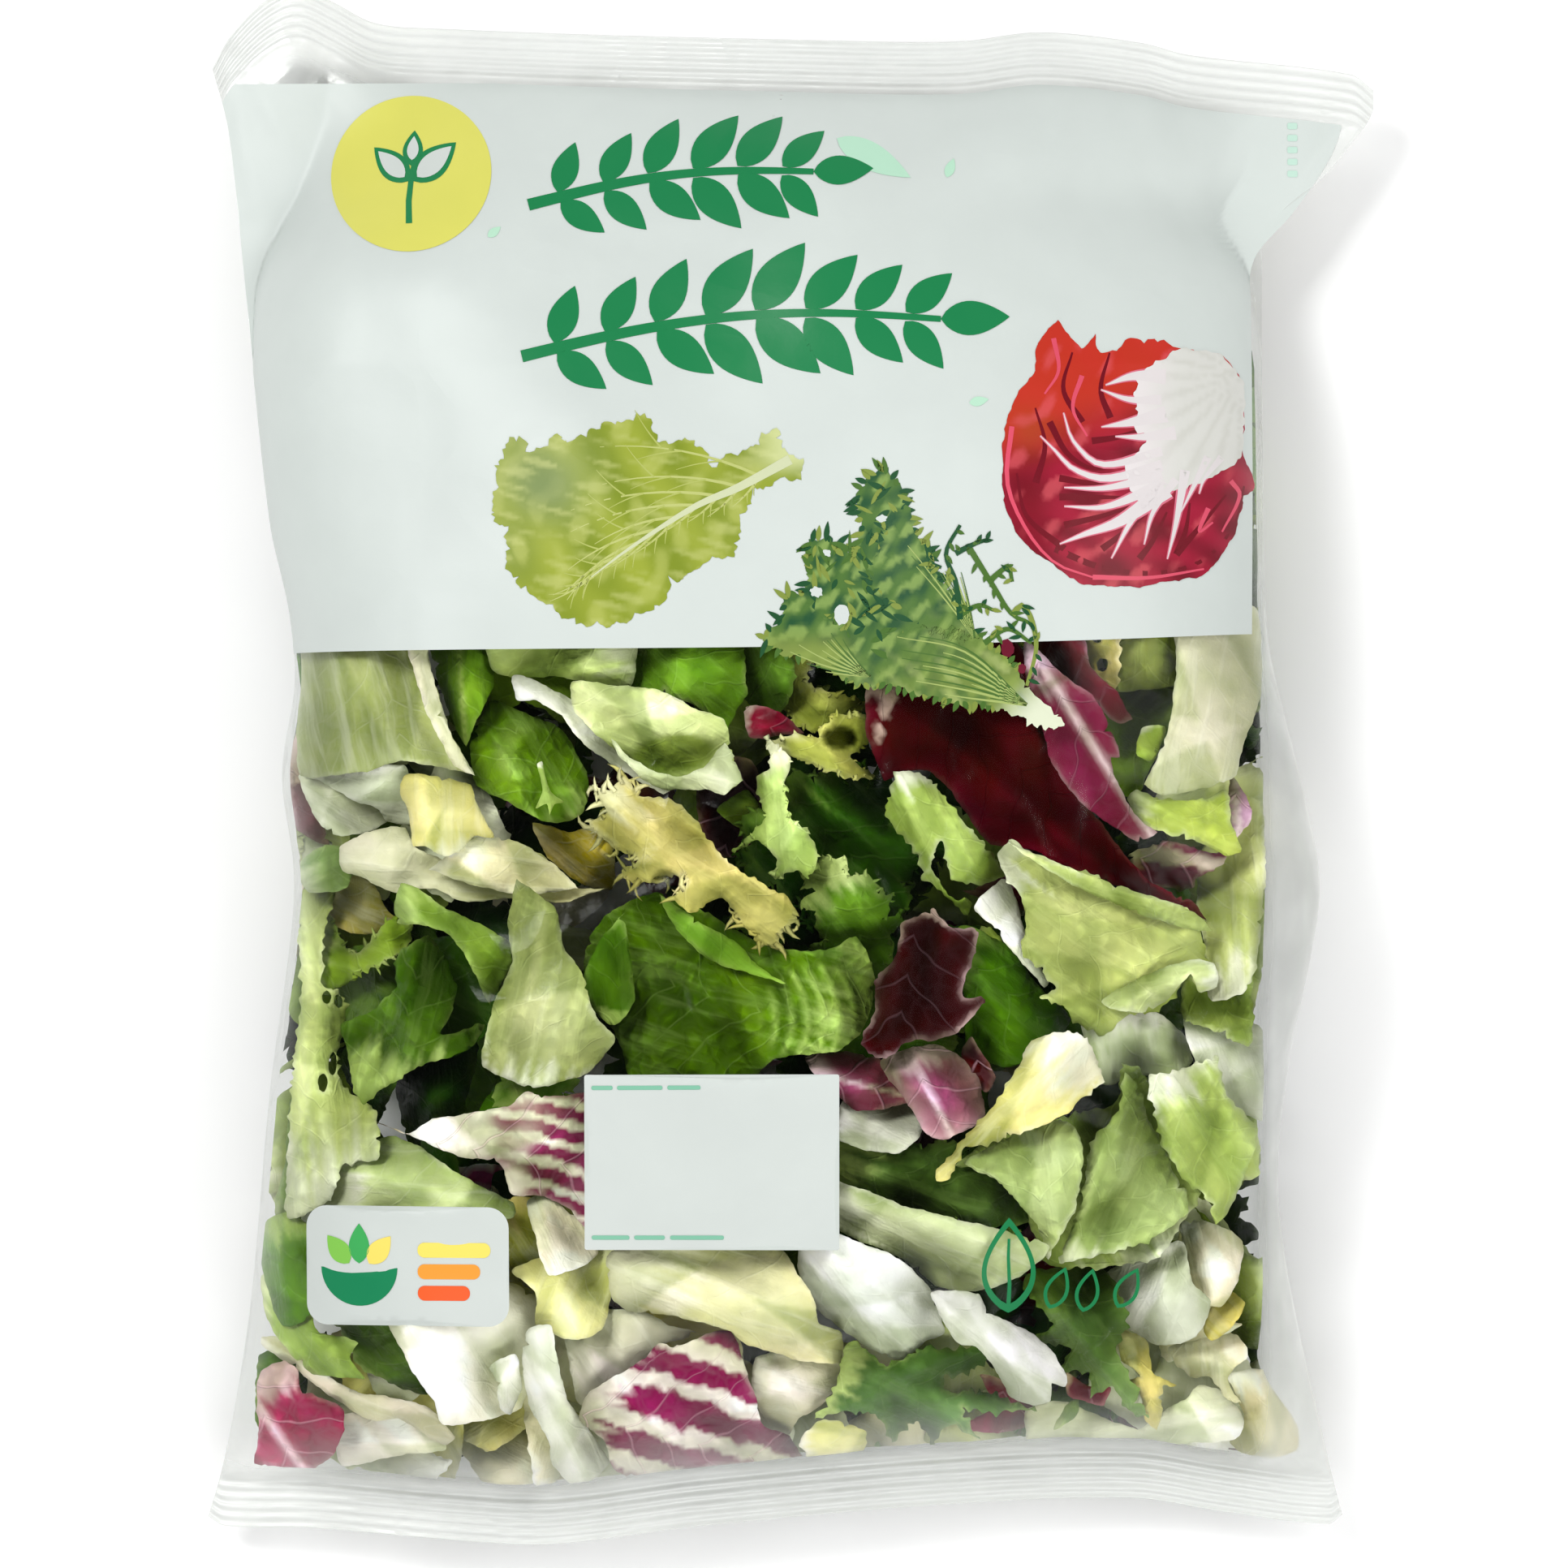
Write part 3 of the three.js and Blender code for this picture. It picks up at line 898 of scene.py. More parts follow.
def patchy(x, y, size, seed):
    """A smooth uneven pattern between -1 and 1."""
    rng = np.random.default_rng(seed)
    total = 0
    for _ in range(6):
        angle, phase, scale = rng.uniform(0, 2 * math.pi), rng.uniform(0, 6.3), size * rng.uniform(0.7, 1.6)
        total = total + np.sin((x * math.cos(angle) + y * math.sin(angle)) * 2 * math.pi / scale + phase)
    return total / 3.2


def blend_colours(count, *layers):
    """Colours laid over each other: a base, then pairs of a colour and how much of it covers."""
    colour = np.tile(linear(layers[0]), (count, 1))
    for tone, cover in layers[1:]:
        cover = np.clip(cover, 0, 1)[:, None]
        colour = colour * (1 - cover) + linear(tone) * cover
    return np.column_stack([colour, np.zeros(count)])


LETTUCE_PICTURE = [
    (-58, 70), (-55, 67), (-49, 70), (-47, 68), (-41, 72), (-36, 73), (-33, 74), (-29, 72), (-28, 69),
    (-22, 69), (-18, 67), (-17, 64), (-13, 66), (-8, 68), (-4, 71), (-2, 70), (-2, 67), (2, 65), (2, 62),
    (-8, 58), (-10, 52), (-12, 45), (-18, 43), (-23, 39), (-28, 34), (-32, 32), (-37, 30), (-42, 30),
    (-48, 31), (-52, 35), (-57, 38), (-60, 45), (-60, 51), (-63, 53), (-63, 57), (-62, 64), (-60, 67),
]
LETTUCE_RIB = [(0, 65), (-11, 59), (-20, 55), (-34, 46), (-42, 40)]
LETTUCE_VEIN = (174, 181, 108)
LETTUCE_TWIG = (164, 173, 92)
LETTUCE_WHITE = (190, 196, 160)
CURLY_PICTURE = [
    (20, 63), (24, 58), (25, 53), (27, 49), (32, 39), (36, 31), (41, 26), (47, 22), (50, 17), (58, 9),
    (55, 8), (42, 13), (36, 13), (29, 15), (25, 16), (20, 17), (15, 17), (7, 22), (-1, 24), (-6, 27),
    (-2, 31), (-1, 36), (3, 37), (4, 42), (4, 48), (9, 48), (13, 45), (15, 49), (14, 57), (16, 61),
]
CURLY_TUFTS = 170
CURLY_GREENS = ((24, 72, 38), (66, 100, 38), (118, 134, 58))
CURLY_LINES = ((152, 168, 96), (70, 102, 44))
CURLY_LOBES = [
    [(17, 43), (21, 50), (25, 55), (27, 49), (31, 41), (37, 32), (40, 27), (32, 27), (24, 33), (18, 38)],
    [(22, 27), (30, 30), (38, 28), (46, 22), (51, 14), (57, 9), (54, 8), (43, 13), (36, 14), (28, 15),
     (20, 18), (20, 22)],
    [(-5, 27), (-2, 31), (3, 35), (8, 31), (13, 26), (19, 20), (18, 17), (11, 19), (5, 22), (-1, 24)],
]
# Gaps in the curly leaf, where the white field and a red leaf behind it show: middle and half sizes
CURLY_GAPS = [
    (11, 32, 1.7, 2.1), (19.5, 52.5, 1, 0.8), (5.5, 37, 1.2, 1.1), (8, 45, 0.8, 0.7), (42, 27, 1.3, 0.8),
]
RED_GAPS = [(46, 25, 1.5, 1.8), (49, 20.6, 0.9, 1.1)]
GAP_RED = (96, 8, 34)
# Tendrils of the curly leaf, each with the number of its green
TENDRILS = [
    ([(36, 31), (35, 39), (33, 45), (36, 51)], 0), ([(35, 45), (39, 47), (42, 48)], 0),
    ([(38, 46), (43, 38), (47, 32), (51, 30), (52, 27)], 1), ([(42, 39), (46, 42), (47, 39)], 1),
    ([(36, 32), (40, 34), (43, 33)], 1), ([(47, 32), (49, 34), (51, 31), (52, 25), (50, 17)], 2),
    ([(41, 26), (46, 29), (51, 26)], 1), ([(29, 47), (30, 43), (32, 42)], 0),
]
RED_PICTURE = [
    (57, 95), (57, 95), (62, 89), (65, 92), (65, 92), (66, 88), (70, 89), (72, 91), (79, 91), (83, 89),
    (86, 89), (92, 88), (95, 85), (97, 82), (97, 71), (97, 66), (99, 62), (99, 59), (97, 57), (94, 48),
    (88, 41), (79, 39), (72, 38), (61, 39), (55, 43), (48, 49), (45, 59), (46, 74), (49, 80), (52, 84),
    (52, 88), (55, 93),
]
WHITE_HEART = [
    (80, 87), (82, 89), (92, 88), (95, 85), (97, 82), (97, 71), (96, 66), (91, 62), (88, 61), (83, 59),
    (79, 58), (76, 55), (72, 59), (71, 64), (74, 67), (76, 70), (73, 72), (74, 76), (73, 79), (74, 82),
    (76, 85),
]
# White streaks from the heart of the red head, each with its width at the heart
STREAKS = [
    ([(80, 83), (73, 83), (67, 81)], 3.4), ([(79, 78), (72, 78), (66, 80)], 2.2),
    ([(80, 75), (72, 73), (66, 72)], 3.6), ([(82, 71), (75, 70), (69, 70)], 3.0),
    ([(79, 67), (66, 64), (60, 69), (58, 75)], 2.0),
    ([(79, 64), (67, 61), (60, 63), (56, 67), (53, 70)], 2.4),
    ([(79, 62), (67, 59), (58, 59)], 2.4), ([(79, 60), (67, 55), (58, 55)], 2.6),
    ([(80, 59), (70, 52), (62, 49), (57, 47)], 4.0), ([(80, 60), (73, 53), (68, 44)], 2.2),
    ([(82, 61), (77, 54), (75, 47)], 1.8), ([(84, 63), (82, 52), (80, 44)], 2.2),
    ([(89, 66), (85, 58), (83, 54)], 1.8), ([(92, 66), (88, 61), (87, 58)], 1.6),
]
# Dark folds of the red head, and the paler lines that run round its rim
FOLDS = [
    [(78, 73), (70, 70), (64, 69)], [(73, 66), (65, 63), (59, 66), (55, 73)], [(73, 61), (64, 60), (57, 61)],
    [(73, 57), (64, 57), (57, 57)], [(75, 56), (66, 53), (58, 51)], [(76, 54), (70, 49), (66, 46)],
    [(80, 54), (77, 48), (74, 44)], [(85, 56), (84, 50), (82, 45)], [(93, 58), (88, 52), (82, 45)],
    [(97, 60), (95, 52), (88, 44), (78, 41), (66, 42), (56, 46)], [(48, 62), (50, 53), (58, 46)],
    [(68, 88), (66, 80), (68, 74)], [(60, 88), (58, 80), (62, 73)], [(52, 76), (54, 68), (52, 60)],
]
RIMS = [
    [(47, 72), (46, 60), (50, 50), (56, 43), (64, 40)], [(64, 40), (76, 40), (88, 42)],
    [(56, 91), (57, 84), (54, 79)], [(62, 83), (60, 76), (63, 70)], [(94, 61), (96, 58), (92, 50)],
    [(89, 55), (87, 50), (90, 52)],
]
FOLD_RED = (104, 2, 22)
RIM_ROSE = (204, 74, 96)
STREAK_ROSE = (202, 104, 124)
STREAK_WHITE = (206, 200, 200)


def bent_line(corners, count=14):
    """A smooth line through a few points."""
    p = np.array(corners, float)
    run = np.concatenate([[0], np.cumsum(np.hypot(*np.diff(p, axis=0).T))])
    at = np.linspace(0, run[-1], count)
    return np.column_stack([curve_through(list(zip(run, p[:, k])))(at) for k in (0, 1)])


def arc_line(foot, heading, bend, length):
    """A bowed line from a foot, turning by bend on its way."""
    turn = math.radians(heading) + math.radians(bend) * np.linspace(0, 1, 8)
    steps = np.column_stack([np.cos(turn), np.sin(turn)]) * length / 8
    return np.vstack([foot, foot + np.cumsum(steps, 0)])


def lettuce_shading(points):
    """Yellow-green, darker where the leaf lies double, with pale clouds."""
    x, y = points.T
    fold = np.exp(-(((x + 52) / 9) ** 2) - ((y - 60) / 7) ** 2)
    return blend_colours(
        len(points), (142, 154, 52), ((116, 132, 34), 0.5 + 0.6 * patchy(x, y, 11, 3)),
        ((166, 174, 88), 0.6 * ease(0.1, 0.9, patchy(x, y, 6, 4))), ((94, 116, 48), 0.8 * fold),
        ((176, 182, 108), 0.5 * ease(0.2, 0.9, patchy(x * 0.5 + y, y, 4, 14))),
        ((206, 212, 160), 0.7 * ease(-12, 0, x) * ease(60, 66, y)),
    )


def curly_shading(points):
    """Dark green at the top, paling to the cut rib at the lower right."""
    x, y = points.T
    down = ease(4, 40, (x - 12) * 0.6 + (32 - y) * 0.9)
    low_left = ease(0, 6, 30 - y) * ease(0, 8, 16 - x)
    return blend_colours(
        len(points), (72, 106, 46), ((30, 74, 42), 0.3 + 0.8 * patchy(x, y, 5, 8)),
        ((124, 150, 78), 0.85 * ease(0.1, 0.6, patchy(x, y, 4, 9))),
        ((126, 142, 66), 0.8 * down + 0.8 * low_left),
        ((46, 88, 44), 0.7 * ease(0.1, 0.7, patchy(x, y + x, 5, 28)) * down),
        ((166, 178, 112), 0.6 * ease(0.1, 0.7, patchy(x + y, y, 5, 18)) * down),
        ((204, 210, 184), ease(0.0, 1.0, (x - 44) / 12 + (15 - y) / 12)),
    )


def red_shading(points):
    """Crimson, orange where the outer leaves stand up, and nearly black-red in the folds."""
    x, y = points.T
    orange = ease(-4, 12, y - 68 + 0.35 * (62 - x))
    deep = np.exp(-(((x - 51) / 5) ** 2) - ((y - 56) / 8) ** 2)
    return blend_colours(
        len(points), (150, 16, 46), ((104, 2, 24), 0.4 + 0.6 * patchy(x + 0.5 * y, y, 9, 12)),
        ((184, 46, 28), 0.9 * orange),
        ((160, 62, 26), 0.7 * np.exp(-(((x - 51) / 5) ** 2) - ((y - 71) / 5) ** 2)),
        ((110, 2, 20), 0.8 * deep), ((206, 84, 92), 0.5 * ease(0.4, 1, patchy(x, y, 7, 5))),
    )


def draw_lettuce():
    """A frilly lettuce leaf with a white rib and fine veins that fan out from it."""
    lobed = with_lobes(smooth_outline(LETTUCE_PICTURE, 0.6), 2.0, 5.0, ink_rng)
    curve = with_teeth(lobed, 1.1, 1.9, ink_rng, 0.2)
    stamp(prints, curve, lettuce_shading, FIELD_LIFT, spacing=0.9)
    rib = bent_line(LETTUCE_RIB, 21)
    for k in range(9):
        foot = rib[3 + 2 * k]
        for heading, bend, length in ((158 + 6.5 * k, 26, 38 - 3.2 * k), (236 - 2 * k, -18, 9 + 1.1 * k)):
            vein = arc_line(foot, heading + ink_rng.normal(0, 3), bend, length * ink_rng.uniform(0.7, 1))
            stamp(prints, stroke(vein, 0.7, 0.12), LETTUCE_VEIN, SHAPE_LIFT)
            for j in (2, 4, 5):
                twig = arc_line(vein[j], heading + 26 * (-1) ** j, 14 * (-1) ** j, 0.26 * length)
                stamp(prints, stroke(twig, 0.4, 0.1), LETTUCE_TWIG, SHAPE_LIFT)
    stamp(prints, stroke(rib, 2.2, 0.2), LETTUCE_WHITE, RIB_LIFT)


def draw_curly():
    """A curly endive leaf: a spiky fringe, dark tufts, tendrils and a pale rib at its foot."""
    curve = smooth_outline(CURLY_PICTURE, 0.7)
    edge = with_teeth(curve, 1.2, 2.2, ink_rng)
    stamp(prints, edge, curly_shading, FIELD_LIFT, spacing=0.8)
    out = outward(curve)
    for i in range(0, len(curve), 2):
        if curve[i, 0] > 44 and curve[i, 1] < 19:
            continue
        low = curve[i, 1] < 26
        tone = CURLY_GREENS[int(ink_rng.integers(1, 3)) if low else int(ink_rng.integers(3))]
        heading = math.atan2(out[i, 1], out[i, 0]) + ink_rng.normal(0, 0.6)
        length = ink_rng.uniform(1.6, 3.0 if low else 4.6)
        foot = curve[i] - 0.8 * out[i]
        stamp(prints, blade(*foot, heading, length, 1.2), tone, SHAPE_LIFT)
    for _ in range(CURLY_TUFTS):
        x, y = ink_rng.uniform(2, 36), ink_rng.uniform(22, 60)
        if not inside(np.array([[x, y]]), [curve])[0]:
            continue
        tone = CURLY_GREENS[int(ink_rng.integers(3))]
        heading = ink_rng.uniform(0.3, 2.9) + math.pi * int(ink_rng.integers(2))
        tuft = blade(x, y, heading, ink_rng.uniform(2.5, 6), ink_rng.uniform(0.7, 1.4))
        stamp(prints, tuft, tone, TUFT_LIFT)
    for lobe in CURLY_LOBES:
        edge = with_teeth(with_lobes(smooth_outline(lobe, 0.5), 1.2, 4.0, ink_rng), 1.5, 1.9, ink_rng, 0.2)
        stamp(prints, edge, curly_shading, LOBE_LIFT, spacing=0.9)
    for k in range(14):
        low = bent_line([(50, 13), (37, 14.5 + 0.8 * k), (25 - 0.2 * k, 16.5 + 0.9 * k)])
        high = arc_line((39, 27), 126 - 2.2 * k, 8, 26 - 0.9 * k)
        left = arc_line((17, 19), 178 - 3.4 * k, -16, 19 - 0.6 * k)
        for line, width in ((low, 0.7), (high, 0.45), (left, 0.5)):
            part = line[: int(ink_rng.integers(5, len(line) + 1))]
            stamp(prints, stroke(part, width, 0.15), CURLY_LINES[k % 2], FINE_LIFT)
    for gaps, tone, tooth in ((CURLY_GAPS, PANEL_WHITE, 0.5), (RED_GAPS, GAP_RED, 0.4)):
        for x, y, rx, ry in gaps:
            edge = with_teeth(disc(x, y, rx, ry, steps=20), tooth, 1.2, ink_rng, 0.2)
            stamp(prints, edge, tone, FINE_LIFT)
    for corners, tone in TENDRILS:
        line = bent_line(corners, 16)
        stamp(prints, stroke(line, 1.3, 0.7), CURLY_GREENS[tone], TOP_LIFT)
        for i in range(2, 16, 2):
            heading = ink_rng.uniform(0, 2 * math.pi)
            spike = blade(*line[i], heading, ink_rng.uniform(1.6, 3), 0.9)
            stamp(prints, spike, CURLY_GREENS[int(ink_rng.integers(3))], TOP_LIFT)


def draw_red_head():
    """A head of red chicory with a white heart that runs out in streaks."""
    curve = with_teeth(smooth_outline(RED_PICTURE, 0.7, 0.85), 0.3, 4.0, ink_rng, 0.25)
    stamp(prints, curve, red_shading, FIELD_LIFT, spacing=0.9)
    for corners in FOLDS:
        stamp(prints, stroke(bent_line(corners), 0.4, 1.5), FOLD_RED, SHAPE_LIFT)
    for corners in RIMS:
        stamp(prints, stroke(bent_line(corners), 1.1, 0.4), RIM_ROSE, TUFT_LIFT)
    for corners, width in STREAKS:
        stamp(prints, stroke(bent_line(corners), width + 0.9, 0.5), STREAK_ROSE, RIB_LIFT)
    heart = with_teeth(smooth_outline(WHITE_HEART, 0.7), 0.8, 2.6, ink_rng, 0.2)
    stamp(prints, heart, heart_shading, TOP_LIFT, spacing=1.0)
    for corners, width in STREAKS:
        stamp(prints, stroke(bent_line(corners), width, 0.15), STREAK_WHITE, STREAK_LIFT)


def heart_shading(points):
    """Greyish white with soft ribs towards the lower left."""
    x, y = points.T
    ribs = ease(0, 1, np.sin(26 * np.arctan2(84 - y, 97 - x) + 0.8 * patchy(x, y, 12, 21)))
    return blend_colours(
        len(points), (200, 200, 194), ((176, 176, 166), 0.35 * ribs), ((212, 206, 206), ease(84, 72, x))
    )


# Loose bits of pale green leaf: foot, heading and length
LOOSE_BITS = [(10, 134.5, -0.5, 18), (33.5, 126, 1.2, 4.5), (-64.5, 112.9, 0.7, 3.5), (38, 77, 0.2, 4.2)]
LOOSE_GREEN = (170, 208, 184)
MARK_GREEN = (176, 204, 190)
BADGE = (-81.4, 127.2, 17.4)
BADGE_LEAVES = [(0.75, 12.5), (2.35, 11.0), (1.5, 8.0)]
DATE_LABEL = (-43.5, -102.4, 10.4, -65.2)
# Short bars on the date label: the foot of each row, and where its bars start and end
DASH_ROWS = [(-68.4, (-42, -37.5, -36.6, -27, -26, -19)), (-100.2, (-42, -34, -33, -26.5, -25.4, -14))]
DASH_GREEN = (120, 176, 150)
BOWL_LABEL = (-103, -119, -59.6, -93.4)
BOWL = (-91.5, -106.5, 8.2)
BOWL_GREEN = (22, 122, 78)
BOWL_LEAVES = [(2.25, 7.5, (122, 184, 76)), (1.57, 8.5, (60, 158, 84)), (0.9, 7.5, (226, 206, 98))]
BAR_COLOURS = [(226, 208, 96), (228, 146, 52), (222, 86, 30)]
# Outlined seeds over the window: foot and heading
SEEDS = [(55, -115.2, 1.2), (62.2, -116, 1.35), (69.6, -115.2, 1.1)]


def draw_badge():
    """A round badge with a sprout of three outlined leaves."""
    stamp(prints, disc(*BADGE, steps=72), YELLOW, FIELD_LIFT)
    stem = [(-81.4, 116), (-81.6, 121), (-81.2, 126), (-80.6, 130)]
    stamp(prints, stroke(stem, 1.4, 1.0), GREEN, TOP_LIFT)
    for angle, length in BADGE_LEAVES:
        foot = (-81.3 + 0.6 * math.cos(angle), 125.4 + (3.4 if length < 9 else 0))
        stamp(prints, blade(*foot, angle, length, length * 0.55), GREEN, TOP_LIFT)
        inner = (foot[0] + 1.3 * math.cos(angle), foot[1] + 1.3 * math.sin(angle))
        stamp(prints, blade(*inner, angle, length - 2.6, (length - 2.6) * 0.46), WHITE, INSET_LIFT)


def draw_labels():
    """A plain date label with two rows of short bars, and a rounded one with a salad bowl and three bars."""
    stamp(labels, rounded_box(*DATE_LABEL, 0.5), WHITE, LABEL_LIFT, spacing=1.5)
    for y, ends in DASH_ROWS:
        for x0, x1 in zip(ends[::2], ends[1::2]):
            stamp(prints, rounded_box(x0, y, x1, y + 0.9, 0.4), DASH_GREEN, FIELD_LIFT)
    stamp(labels, rounded_box(*BOWL_LABEL, 4.5), WHITE, LABEL_LIFT, spacing=1.5)
    stamp(prints, disc(*BOWL, steps=24, start=math.pi, sweep=math.pi), BOWL_GREEN, FIELD_LIFT)
    for angle, length, tone in BOWL_LEAVES:
        foot = (BOWL[0] + 3.4 * math.cos(angle), BOWL[1] + 0.9)
        stamp(prints, blade(*foot, angle, length, 4.4), tone, FIELD_LIFT)
    for k, tone in enumerate(BAR_COLOURS):
        y = -104.2 - 4.6 * k
        stamp(prints, rounded_box(-79, y, -63.5 - 2.2 * k, y + 3.2, 1.5), tone, FIELD_LIFT)


def draw_outlines():
    """Line drawings of a leaf and three seeds over the window."""
    ring = blade(46.3, -116.0, math.pi / 2, 20.5, 11.5, steps=22)
    core = blade(46.3, -114.2, math.pi / 2, 16.9, 9.4, steps=22)
    stamp(prints, ring, GREEN, FAINT_LIFT, holes=[core])
    midrib = [(46.3, -115), (46.5, -110), (46.2, -104), (46.3, -100)]
    stamp(prints, stroke(midrib, 0.9, 0.6), GREEN, FAINT_LIFT)
    for x, y, angle in SEEDS:
        ring = blade(x, y, angle, 9.6, 5.2, steps=18)
        core = blade(x + 0.9 * math.cos(angle), y + 0.9 * math.sin(angle), angle, 7.6, 3.6, steps=18)
        stamp(prints, ring, GREEN, FAINT_LIFT, holes=[core])


def make_print():
    """All printed shapes: pictures of leaves, sprigs, a round badge, labels and small signs."""
    make_panel()
    draw_lettuce()
    draw_curly()
    draw_red_head()
    sprig(-56, 120, 5, 127, 3.0, 6, 13.5)
    sprig(-57, 87, 32, 95, 4.5, 8, 15.5)
    for x, y, angle, length in LOOSE_BITS:
        stamp(prints, blade(x, y, angle, length, length * 0.3 + 0.8), LOOSE_GREEN, FAINT_LIFT)
    for k in range(5):
        y = 127.5 + 2.6 * k
        stamp(prints, rounded_box(107.6, y, 109.8, y + 1.4, 0.4), MARK_GREEN, FAINT_LIFT)
    draw_badge()
    draw_labels()
    draw_outlines()
    labels.make("white_labels", WHITE_PRINT, "white_print")
    prints.make("printed_shapes", COLOUR_PRINT, "colour_print")


make_print()

# The leaves

# Colours of each sort of leaf: its rib, its blade and its edge, and the piece it belongs to
SORTS = {
    "light": ((228, 232, 208), (184, 200, 120), (172, 192, 96), "escarole_leaves"),
    "fresh": ((205, 216, 160), (142, 168, 68), (128, 156, 54), "escarole_leaves"),
    "mid": ((178, 200, 120), (104, 148, 42), (90, 138, 32), "green_leaves"),
    "dark": ((130, 158, 82), (54, 92, 22), (44, 82, 16), "green_leaves"),
    "hazy": ((206, 214, 180), (150, 172, 108), (140, 164, 96), "green_leaves"),
    "chicory": ((232, 233, 214), (202, 209, 154), (188, 200, 128), "chicory_pieces"),
    "yellow": ((240, 238, 212), (231, 227, 160), (226, 216, 118), "chicory_pieces"),
    "amber": ((222, 208, 140), (196, 178, 82), (180, 160, 60), "chicory_pieces"),
    "white": ((247, 247, 242), (240, 241, 231), (230, 234, 208), "chicory_pieces"),
    "cream": ((246, 243, 230), (238, 233, 210), (230, 222, 178), "chicory_pieces"),
    "grey": ((236, 236, 228), (204, 208, 186), (190, 196, 168), "chicory_pieces"),
    "frisee": ((232, 228, 190), (212, 204, 128), (200, 192, 92), "frisee_leaves"),
    "lime": ((226, 230, 190), (190, 210, 118), (176, 200, 92), "frisee_leaves"),
    "curly": ((190, 206, 140), (112, 150, 62), (96, 140, 48), "frisee_leaves"),
    "forest": ((120, 148, 74), (48, 84, 20), (40, 76, 16), "frisee_leaves"),
    "red": ((226, 196, 200), (96, 4, 28), (124, 10, 44), "radicchio_leaves"),
    "mauve": ((222, 200, 204), (132, 52, 80), (146, 50, 84), "radicchio_leaves"),
    "crimson": ((232, 206, 206), (146, 30, 66), (160, 40, 78), "radicchio_leaves"),
    "stripe": ((244, 238, 226), (152, 62, 104), (150, 54, 100), "radicchio_leaves"),
}
LEAVES = []


def leaf(sort, rib, outline, **traits):
    """Adds one leaf piece, from the top of the bag down; rib runs from its pale foot to its tip."""
    LEAVES.append((sort, rib, outline, traits))


# Labels' neighbours and the loose tips that lie on everything else
leaf("frisee", (-41, -3, 0, -34), [
    (-35, -2), (-32, -6), (-26, -7), (-21, -10), (-17, -16), (-12, -21), (-4, -26), (0, -28), (1, -32),
    (-2, -36), (-3, -38), (-7, -37), (-11, -32), (-15, -28), (-21, -31), (-25, -28), (-22, -25), (-23, -23),
    (-28, -24), (-33, -25), (-36, -22), (-32, -20), (-38, -17), (-43, -12), (-39, -10), (-42, -4), (-38, -5)],
    tooth=0.7, pitch=2.6, fringe=3.8,
    fringe_at=[(-42, -9, 7), (-27, -25, 6), (-6, -36, 9), (-36, -22, 5), (-36, -3, 5)],
    tint=(200, 192, 122), folds=[(-38, -9, -6, -33, 2.5, 3.5), (-30, -8, -8, -28, -2.5, 2),
    (-24, -10, -26, -20, -2, 1.5)], dents=[(-26.4, -24.6, 3.2, 2.6, 0, 4)])
leaf("cream", (-80, 40, -68, -4), [
    (-83, 36), (-77, 36), (-77, 24), (-75, 16), (-72, 7), (-67, -2), (-67, -2), (-71, 0), (-76, 9),
    (-80, 20)], tint=(214, 218, 180), ribs=0.8, ruffle=1.0, folds=[(-78, 30, -70, 0, 1.4, 1.5)])
leaf("chicory", (-92, 46, -80, -6), [
    (-109, 34), (-78, 36), (-77, 24), (-75, 16), (-72, 7), (-67, -2), (-67, -2), (-75, 0), (-83, 1),
    (-90, -1), (-105, -2), (-106, 6), (-106, 14)], ribs=0.8, ruffle=2.0, tint=(160, 170, 108), white_to=0.1,
    folds=[(-76, 22, -69, -1, 2.5, 2.6), (-100, 30, -92, 0, 1.5, 4)])
leaf("yellow", (-74, -19, -75, -2), [
    (-82, -2), (-75, -2), (-68, -4), (-68, -4), (-65, -11), (-63, -15), (-67, -15), (-70, -18), (-73, -19),
    (-78, -17), (-80, -17), (-81, -10), (-83, -6)], ribs=0.5, folds=[(-78, -3, -79, -16, 2, 3)])
leaf("light", (-64, -66, -57, -24), [
    (-58, -24), (-58, -24), (-50, -30), (-48, -38), (-44, -44), (-41, -53), (-37, -58), (-40, -62),
    (-43, -65), (-54, -68), (-65, -64), (-65, -59), (-63, -51), (-59, -41), (-60, -33)],
    tint=(172, 180, 124), ribs=0.35, white_to=0.12, folds=[(-56, -30, -48, -58, 3, 7)])
leaf("mauve", (50, 26, 77, -15), [
    (50, 27), (57, 20), (64, 15), (68, 8), (70, 2), (68, 2), (69, -2), (73, -10), (78, -14), (78, -14),
    (74, -16), (66, -11), (60, -6), (55, 2), (53, 10), (50, 18)], line=1.0, veins=0.15,
    folds=[(54, 22, 68, -8, 3, 5)])
leaf("white", (31, -112, 58, -134), [
    (30, -112), (40, -112), (42, -116), (50, -120), (56, -125), (59, -130), (59, -133), (56, -132),
    (56, -136), (52, -137), (47, -135), (44, -129), (40, -124), (36, -123), (32, -117)], thick=1.6,
    ribs=0.6, tint=(209, 211, 199), white_to=0.1, folds=[(34, -115, 54, -134, 3, 5)])
leaf("curly", (14, -127, 46, -141), [
    (12, -123), (16, -124), (21, -128), (29, -124), (35, -125), (39, -124), (47, -119), (47, -119),
    (43, -127), (38, -130), (33, -131), (34, -134), (41, -134), (53, -139), (53, -139), (44, -139),
    (37, -138), (41, -145), (41, -145), (34, -142), (31, -147), (31, -147), (27, -141), (22, -146),
    (22, -146), (19, -140), (14, -138), (5, -140), (5, -140), (9, -134), (10, -130)], tooth=1.5, pitch=2.8,
    tint=(96, 128, 72), white_to=0.06, ruffle=3.5, facets=8, folds=[(14, -126, 30, -144, -3, 3),
    (24, -130, 44, -123, 3, 2.5), (18, -134, 48, -138, 2.5, 2.5)])
